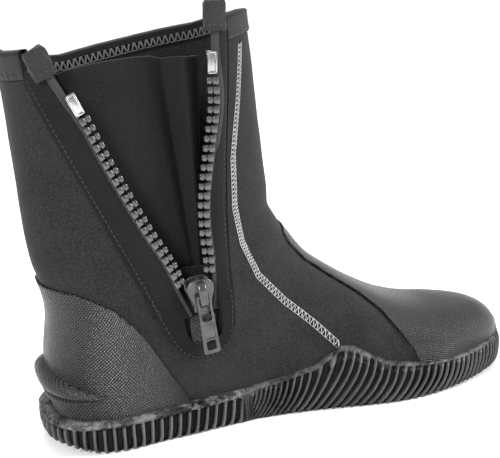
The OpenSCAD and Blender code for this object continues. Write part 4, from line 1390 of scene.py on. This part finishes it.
def binding_end(side, f, width):
    """End of the collar tape folded round the top of a flap, gathered and slightly lumpy."""
    z0, z1 = BAND_FROM + 0.5, EDGE_LENGTH
    angle = np.linspace(0, 2 * math.pi, 72, endpoint=False)
    cx, cy = np.cos(angle), np.sin(angle)
    rings = []
    for up in np.concatenate([[0, 0.02, 0.06], np.linspace(0.12, 0.88, 16), [0.94, 0.98, 1.0]]):
        shrink = 1 - 0.16 * smooth((up - 0.86) / 0.14) - 0.10 * smooth((0.06 - up) / 0.06)
        lump = 1 + 0.045 * np.sin(3 * angle + 6 * up) + 0.03 * np.sin(7 * angle + 9 * up)
        x = 1.2 + width / 2 + width / 2 * np.sign(cx) * np.abs(cx) ** 0.55 * shrink * lump
        y = 3.7 * np.sign(cy) * np.abs(cy) ** 0.6 * shrink * lump
        rings.append(np.stack([x, y, z0 + (z1 - z0) * up + 0.5 * np.sin(2 * angle) * up], -1))
    rim, centre = rings[-1], rings[-1].mean(0)
    for share in (0.7, 0.4, 0.1):
        rings.append(centre + (rim - centre) * share + [0, 0, -0.5 * (1 - share)])
    rings = np.array(rings)
    points, faces = capped(rings)
    i, j = np.indices(rings.shape[:2])
    coords = np.stack([i * 0.8, j * 0.45, 0 * i], -1)
    x = np.linspace(2.5, width, 40)
    line = np.stack([x, np.full_like(x, 3.85), np.full_like(x, z0 + 3.2)], -1)
    for obj, material, replaced in (
            (mesh_piece(side + "_binding_fold", points, faces, coords), "binding",
             [side + "_binding_end"]),
            (dashes(side + "_fold_stitch", line, 1.8, 3.2, 0.25, np.tile([0.0, 1.0, 0.0], (40, 1))),
             "dim_thread", [])):
        place(obj, f)
        finish_piece(obj, material, side + "_flap", *replaced)


for side, f, shift, curl, width in (("rear", rear_frame, 0.0, rear_curl, 13.0),
                                    ("front", front_frame, TOOTH_PITCH / 2, front_curl, 12.5)):
    zip_tape(side, f, curl)
    teeth(side, f, shift, curl)
    top_stop(side, f, shift, curl)
    binding_end(side, f, width)

# ------------------------------------------------------------------ slider and pull tab

PLATE_GAP, PLATE_THICK = 3.05, 1.5
SLIDER_LOW, SLIDER_HIGH, SLIDER_HALF = 2.0, 22.0, 7.6
SHOULDER_Z = SLIDER_HIGH - 6
BRIDGE_LOW = PLATE_GAP + PLATE_THICK
BRIDGE_HIGH = BRIDGE_LOW + 5.6
EYE_Z, EYE_OUT = 12.0, BRIDGE_LOW + 2.9
TAB_LENGTH, TAB_WIDTH, TAB_THICK = 36.0, 10.0, 1.8


def rounded_polygon(points, radius, steps=4):
    """Polygon with each corner replaced by a short curve."""
    points = np.asarray(points, float)
    out = []
    for i, p in enumerate(points):
        a, b = points[i - 1], points[(i + 1) % len(points)]
        r = min(radius, 0.45 * np.linalg.norm(a - p), 0.45 * np.linalg.norm(b - p))
        p0, p1 = p + unit(a - p) * r, p + unit(b - p) * r
        for k in range(steps + 1):
            t = k / steps
            out.append((1 - t) ** 2 * p0 + 2 * t * (1 - t) * p + t * t * p1)
    return np.array(out)


def mirrored(right, radius):
    """Rounded outline that is the same on both sides, from its right-hand corners."""
    left = [(-x, z) for x, z in right]
    return rounded_polygon(left[:1] + right + left[:0:-1], radius)


def plate(name, outline, holes, thick, edge):
    """Flat plate with rounded edges, drawn with x across and z up and its middle at y = 0."""
    curve = bpy.data.curves.new(name, "CURVE")
    curve.dimensions = "2D"
    curve.fill_mode = "BOTH"
    curve.extrude = (thick / 2 - edge) * MM
    curve.bevel_depth = edge * MM
    curve.bevel_resolution = 2
    curve.offset = -edge * MM
    for loop in (outline, *holes):
        spline = curve.splines.new("POLY")
        spline.points.add(len(loop) - 1)
        for point, (x, y) in zip(spline.points, loop):
            point.co = (x * MM, y * MM, 0, 1)
        spline.use_cyclic_u = True
    obj = linked(name, curve)
    bpy.context.view_layer.update()
    mesh = evaluated_mesh(obj)
    bpy.data.objects.remove(obj)
    mesh.transform(Matrix.Rotation(math.pi / 2, 4, "X"))
    return linked(name, mesh)


def merged(name, objects):
    """One object from several, which are used up."""
    bm = bmesh.new()
    for o in objects:
        bm.from_mesh(o.data)
        bpy.data.objects.remove(o)
    bmesh.ops.remove_doubles(bm, verts=bm.verts, dist=1e-6)
    bmesh.ops.recalc_face_normals(bm, faces=bm.faces)
    mesh = bpy.data.meshes.new(name)
    bm.to_mesh(mesh)
    bm.free()
    return linked(name, mesh)


def soft_shade(obj):
    obj.data.polygons.foreach_set("use_smooth", [True] * len(obj.data.polygons))
    obj.data.set_sharp_from_angle(angle=math.radians(40))


def slider():
    """Two shouldered plates joined by a post at the top, with a rim that leads the tapes in."""
    h, s = SLIDER_HALF, SHOULDER_Z
    shape = mirrored([(5.0, SLIDER_LOW), (5.4, s - 8), (h + 0.3, s - 1.0), (h + 0.3, s + 3),
                      (4.6, SLIDER_HIGH)], 2.6)
    plates = []
    for name, sign in (("slider_top", 1), ("slider_under", -1)):
        plates.append(plate(name, shape, [], PLATE_THICK, 0.5))
        middle = sign * (PLATE_GAP + PLATE_THICK / 2) * MM
        plates[-1].data.transform(Matrix.Translation((0, middle, 0)))
    parts = [box_part(-1.1, 1.1, -PLATE_GAP - 0.2, PLATE_GAP + 0.2, SLIDER_HIGH - 3.2,
                      SLIDER_HIGH - 0.3)]
    for x0, x1 in ((-5.4, -4.3), (4.3, 5.4)):
        parts.append(box_part(x0, x1, 1.2, PLATE_GAP + 0.4, SLIDER_LOW + 0.8, SHOULDER_Z - 9))
    blocks = bevelled(join_parts("slider_blocks", parts), 0.25)
    obj = merged("slider_casting", [*plates, blocks])
    soft_shade(obj)
    hard_piece(obj, slider_frame, "metal", "slider", "slider_body")


slider()


def bridge():
    """Hooked loop on the slider that holds the tab, with rounded shoulders."""
    e = EYE_Z
    side = rounded_polygon([
        [BRIDGE_LOW - 0.5, e - 6.5], [BRIDGE_LOW + 2.6, e - 6.2], [BRIDGE_HIGH, e - 3.4],
        [BRIDGE_HIGH, e + 5.6], [BRIDGE_LOW + 3.4, e + 9.0], [BRIDGE_LOW - 0.5, e + 9.4]], 2.2)
    hole = rounded_polygon([
        [BRIDGE_LOW + 0.3, e - 3.2], [BRIDGE_LOW + 2.4, e - 3.0], [BRIDGE_HIGH - 1.4, e - 1.2],
        [BRIDGE_HIGH - 1.4, e + 2.2], [BRIDGE_LOW + 0.3, e + 3.0]], 0.8)
    obj = plate("slider_loop", side, [hole], 4.9, 0.9)
    obj.data.transform(Matrix.Rotation(math.pi / 2, 4, "Z"))
    for v in obj.data.vertices:
        v.co.y = abs(v.co.y)
    soft_shade(obj)
    hard_piece(obj, slider_frame, "metal", "slider", "slider_bridge")


bridge()


def pull_tab():
    """Tapered tab with a long window round the loop, a sunken middle and a square hole."""
    top, low = 1.6, 1.4 - TAB_LENGTH
    w = TAB_WIDTH / 2
    outline = mirrored([(w * 0.82, top), (w * 0.9, -14), (w, low)], 1.6)
    window = mirrored([(2.7, 0.2), (3.0, -14.2)], 1.2)
    hole = mirrored([(2.7, low + 8.0), (2.8, low + 2.6)], 0.8)
    sunk = mirrored([(3.1, -16.6), (3.2, low + 9.6)], 0.8)
    rim = plate("tab_rim", outline, [window, sunk, hole], TAB_THICK, 0.4)
    floor = plate("tab_floor", sunk * [1.08, 1.0], [], TAB_THICK - 0.9, 0.1)
    obj = merged("pull_tab_metal", [rim, floor])
    soft_shade(obj)
    obj.data.transform(Matrix.Translation((0, EYE_OUT * MM, EYE_Z * MM)))
    hard_piece(obj, slider_frame, "metal", "pull_tab", "pull_tab")


pull_tab()

# ------------------------------------------------------------------ frame nodes that stay

for name, material in (("outsole", "sole"), ("midsole", "midsole"), ("insole_board", "board"),
                       ("zip_bottom_stop", "tooth")):
    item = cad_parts[name]
    item.data.materials.clear()
    item.data.materials.append(MATERIALS[material][1])

# ------------------------------------------------------------------ floor, light and camera

FLOOR_HALF = 14.0
AIM = Vector((-0.01, 0.0, 0.11))
IMAGE_WIDTH = 500
SENSOR = 36


def floor():
    """Plain pale ground under the boot."""
    mesh = bpy.data.meshes.new("floor")
    corners = [(x * FLOOR_HALF, y * FLOOR_HALF, 0) for x, y in ((-1, -1), (1, -1), (1, 1), (-1, 1))]
    mesh.from_pydata(corners, [], [(0, 1, 2, 3)])
    look = Look("floor_paper")
    mesh.materials.append(look.paint(look.noise(60, 2), 0.86, 0.9, (0.3, 0.7), None, 0.6,
                                     {"Specular IOR Level": 0.2}, cool=0))
    linked("floor", mesh)


floor()


def lamp(name, kind, place_at, energy, **settings):
    """Light at a place, turned to the middle of the boot."""
    light = bpy.data.lights.new(name, kind)
    light.energy = energy
    for key, value in settings.items():
        setattr(light, key, value)
    obj = linked(name, light)
    obj.location = place_at
    obj.rotation_euler = (AIM - Vector(place_at)).to_track_quat("-Z", "Y").to_euler()


SOFTBOX = {"shape": "RECTANGLE", "size": 0.45, "size_y": 0.7}
lamp("key", "AREA", (-1.0, -1.0, 0.95), 30, **SOFTBOX)
lamp("toe_side", "AREA", (1.35, -0.6, 0.9), 36, **SOFTBOX)
lamp("over", "SUN", (0.25, 0.75, 1.4), 2.0, angle=math.radians(45))

bpy.context.scene.view_settings.view_transform = "Standard"
world = bpy.data.worlds.new("studio")
world.use_nodes = True
bpy.context.scene.world = world
background = world.node_tree.nodes["Background"]
background.inputs["Color"].default_value = (1, 1, 1, 1)
background.inputs["Strength"].default_value = 0.6


def camera(azimuth, elevation, roll, distance, focal, shift):
    """Camera round a point over the sole's middle; focal length and shift are in pixels."""
    data = bpy.data.cameras.new("camera")
    obj = linked("camera", data)
    a, e, r = (math.radians(v) for v in (azimuth, elevation, roll))
    back = Vector((math.sin(a) * math.cos(e), -math.cos(a) * math.cos(e), math.sin(e)))
    right = Vector((math.cos(a), math.sin(a), 0))
    up = back.cross(right)
    right, up = right * math.cos(r) - up * math.sin(r), up * math.cos(r) + right * math.sin(r)
    at = Vector((0, 0, 0.12)) + back * (distance * MM)
    obj.matrix_world = Matrix([[right[i], up[i], back[i], at[i]] for i in range(3)] + [[0, 0, 0, 1]])
    data.sensor_width = SENSOR
    data.lens = focal * SENSOR / IMAGE_WIDTH
    data.shift_x, data.shift_y = shift[0] / IMAGE_WIDTH, shift[1] / IMAGE_WIDTH
    data.clip_start, data.clip_end = 0.01, 50
    bpy.context.scene.camera = obj


camera(-18.41, 15.68, 2.47, 699.2, 1135.2, (-23.5, -17.7))
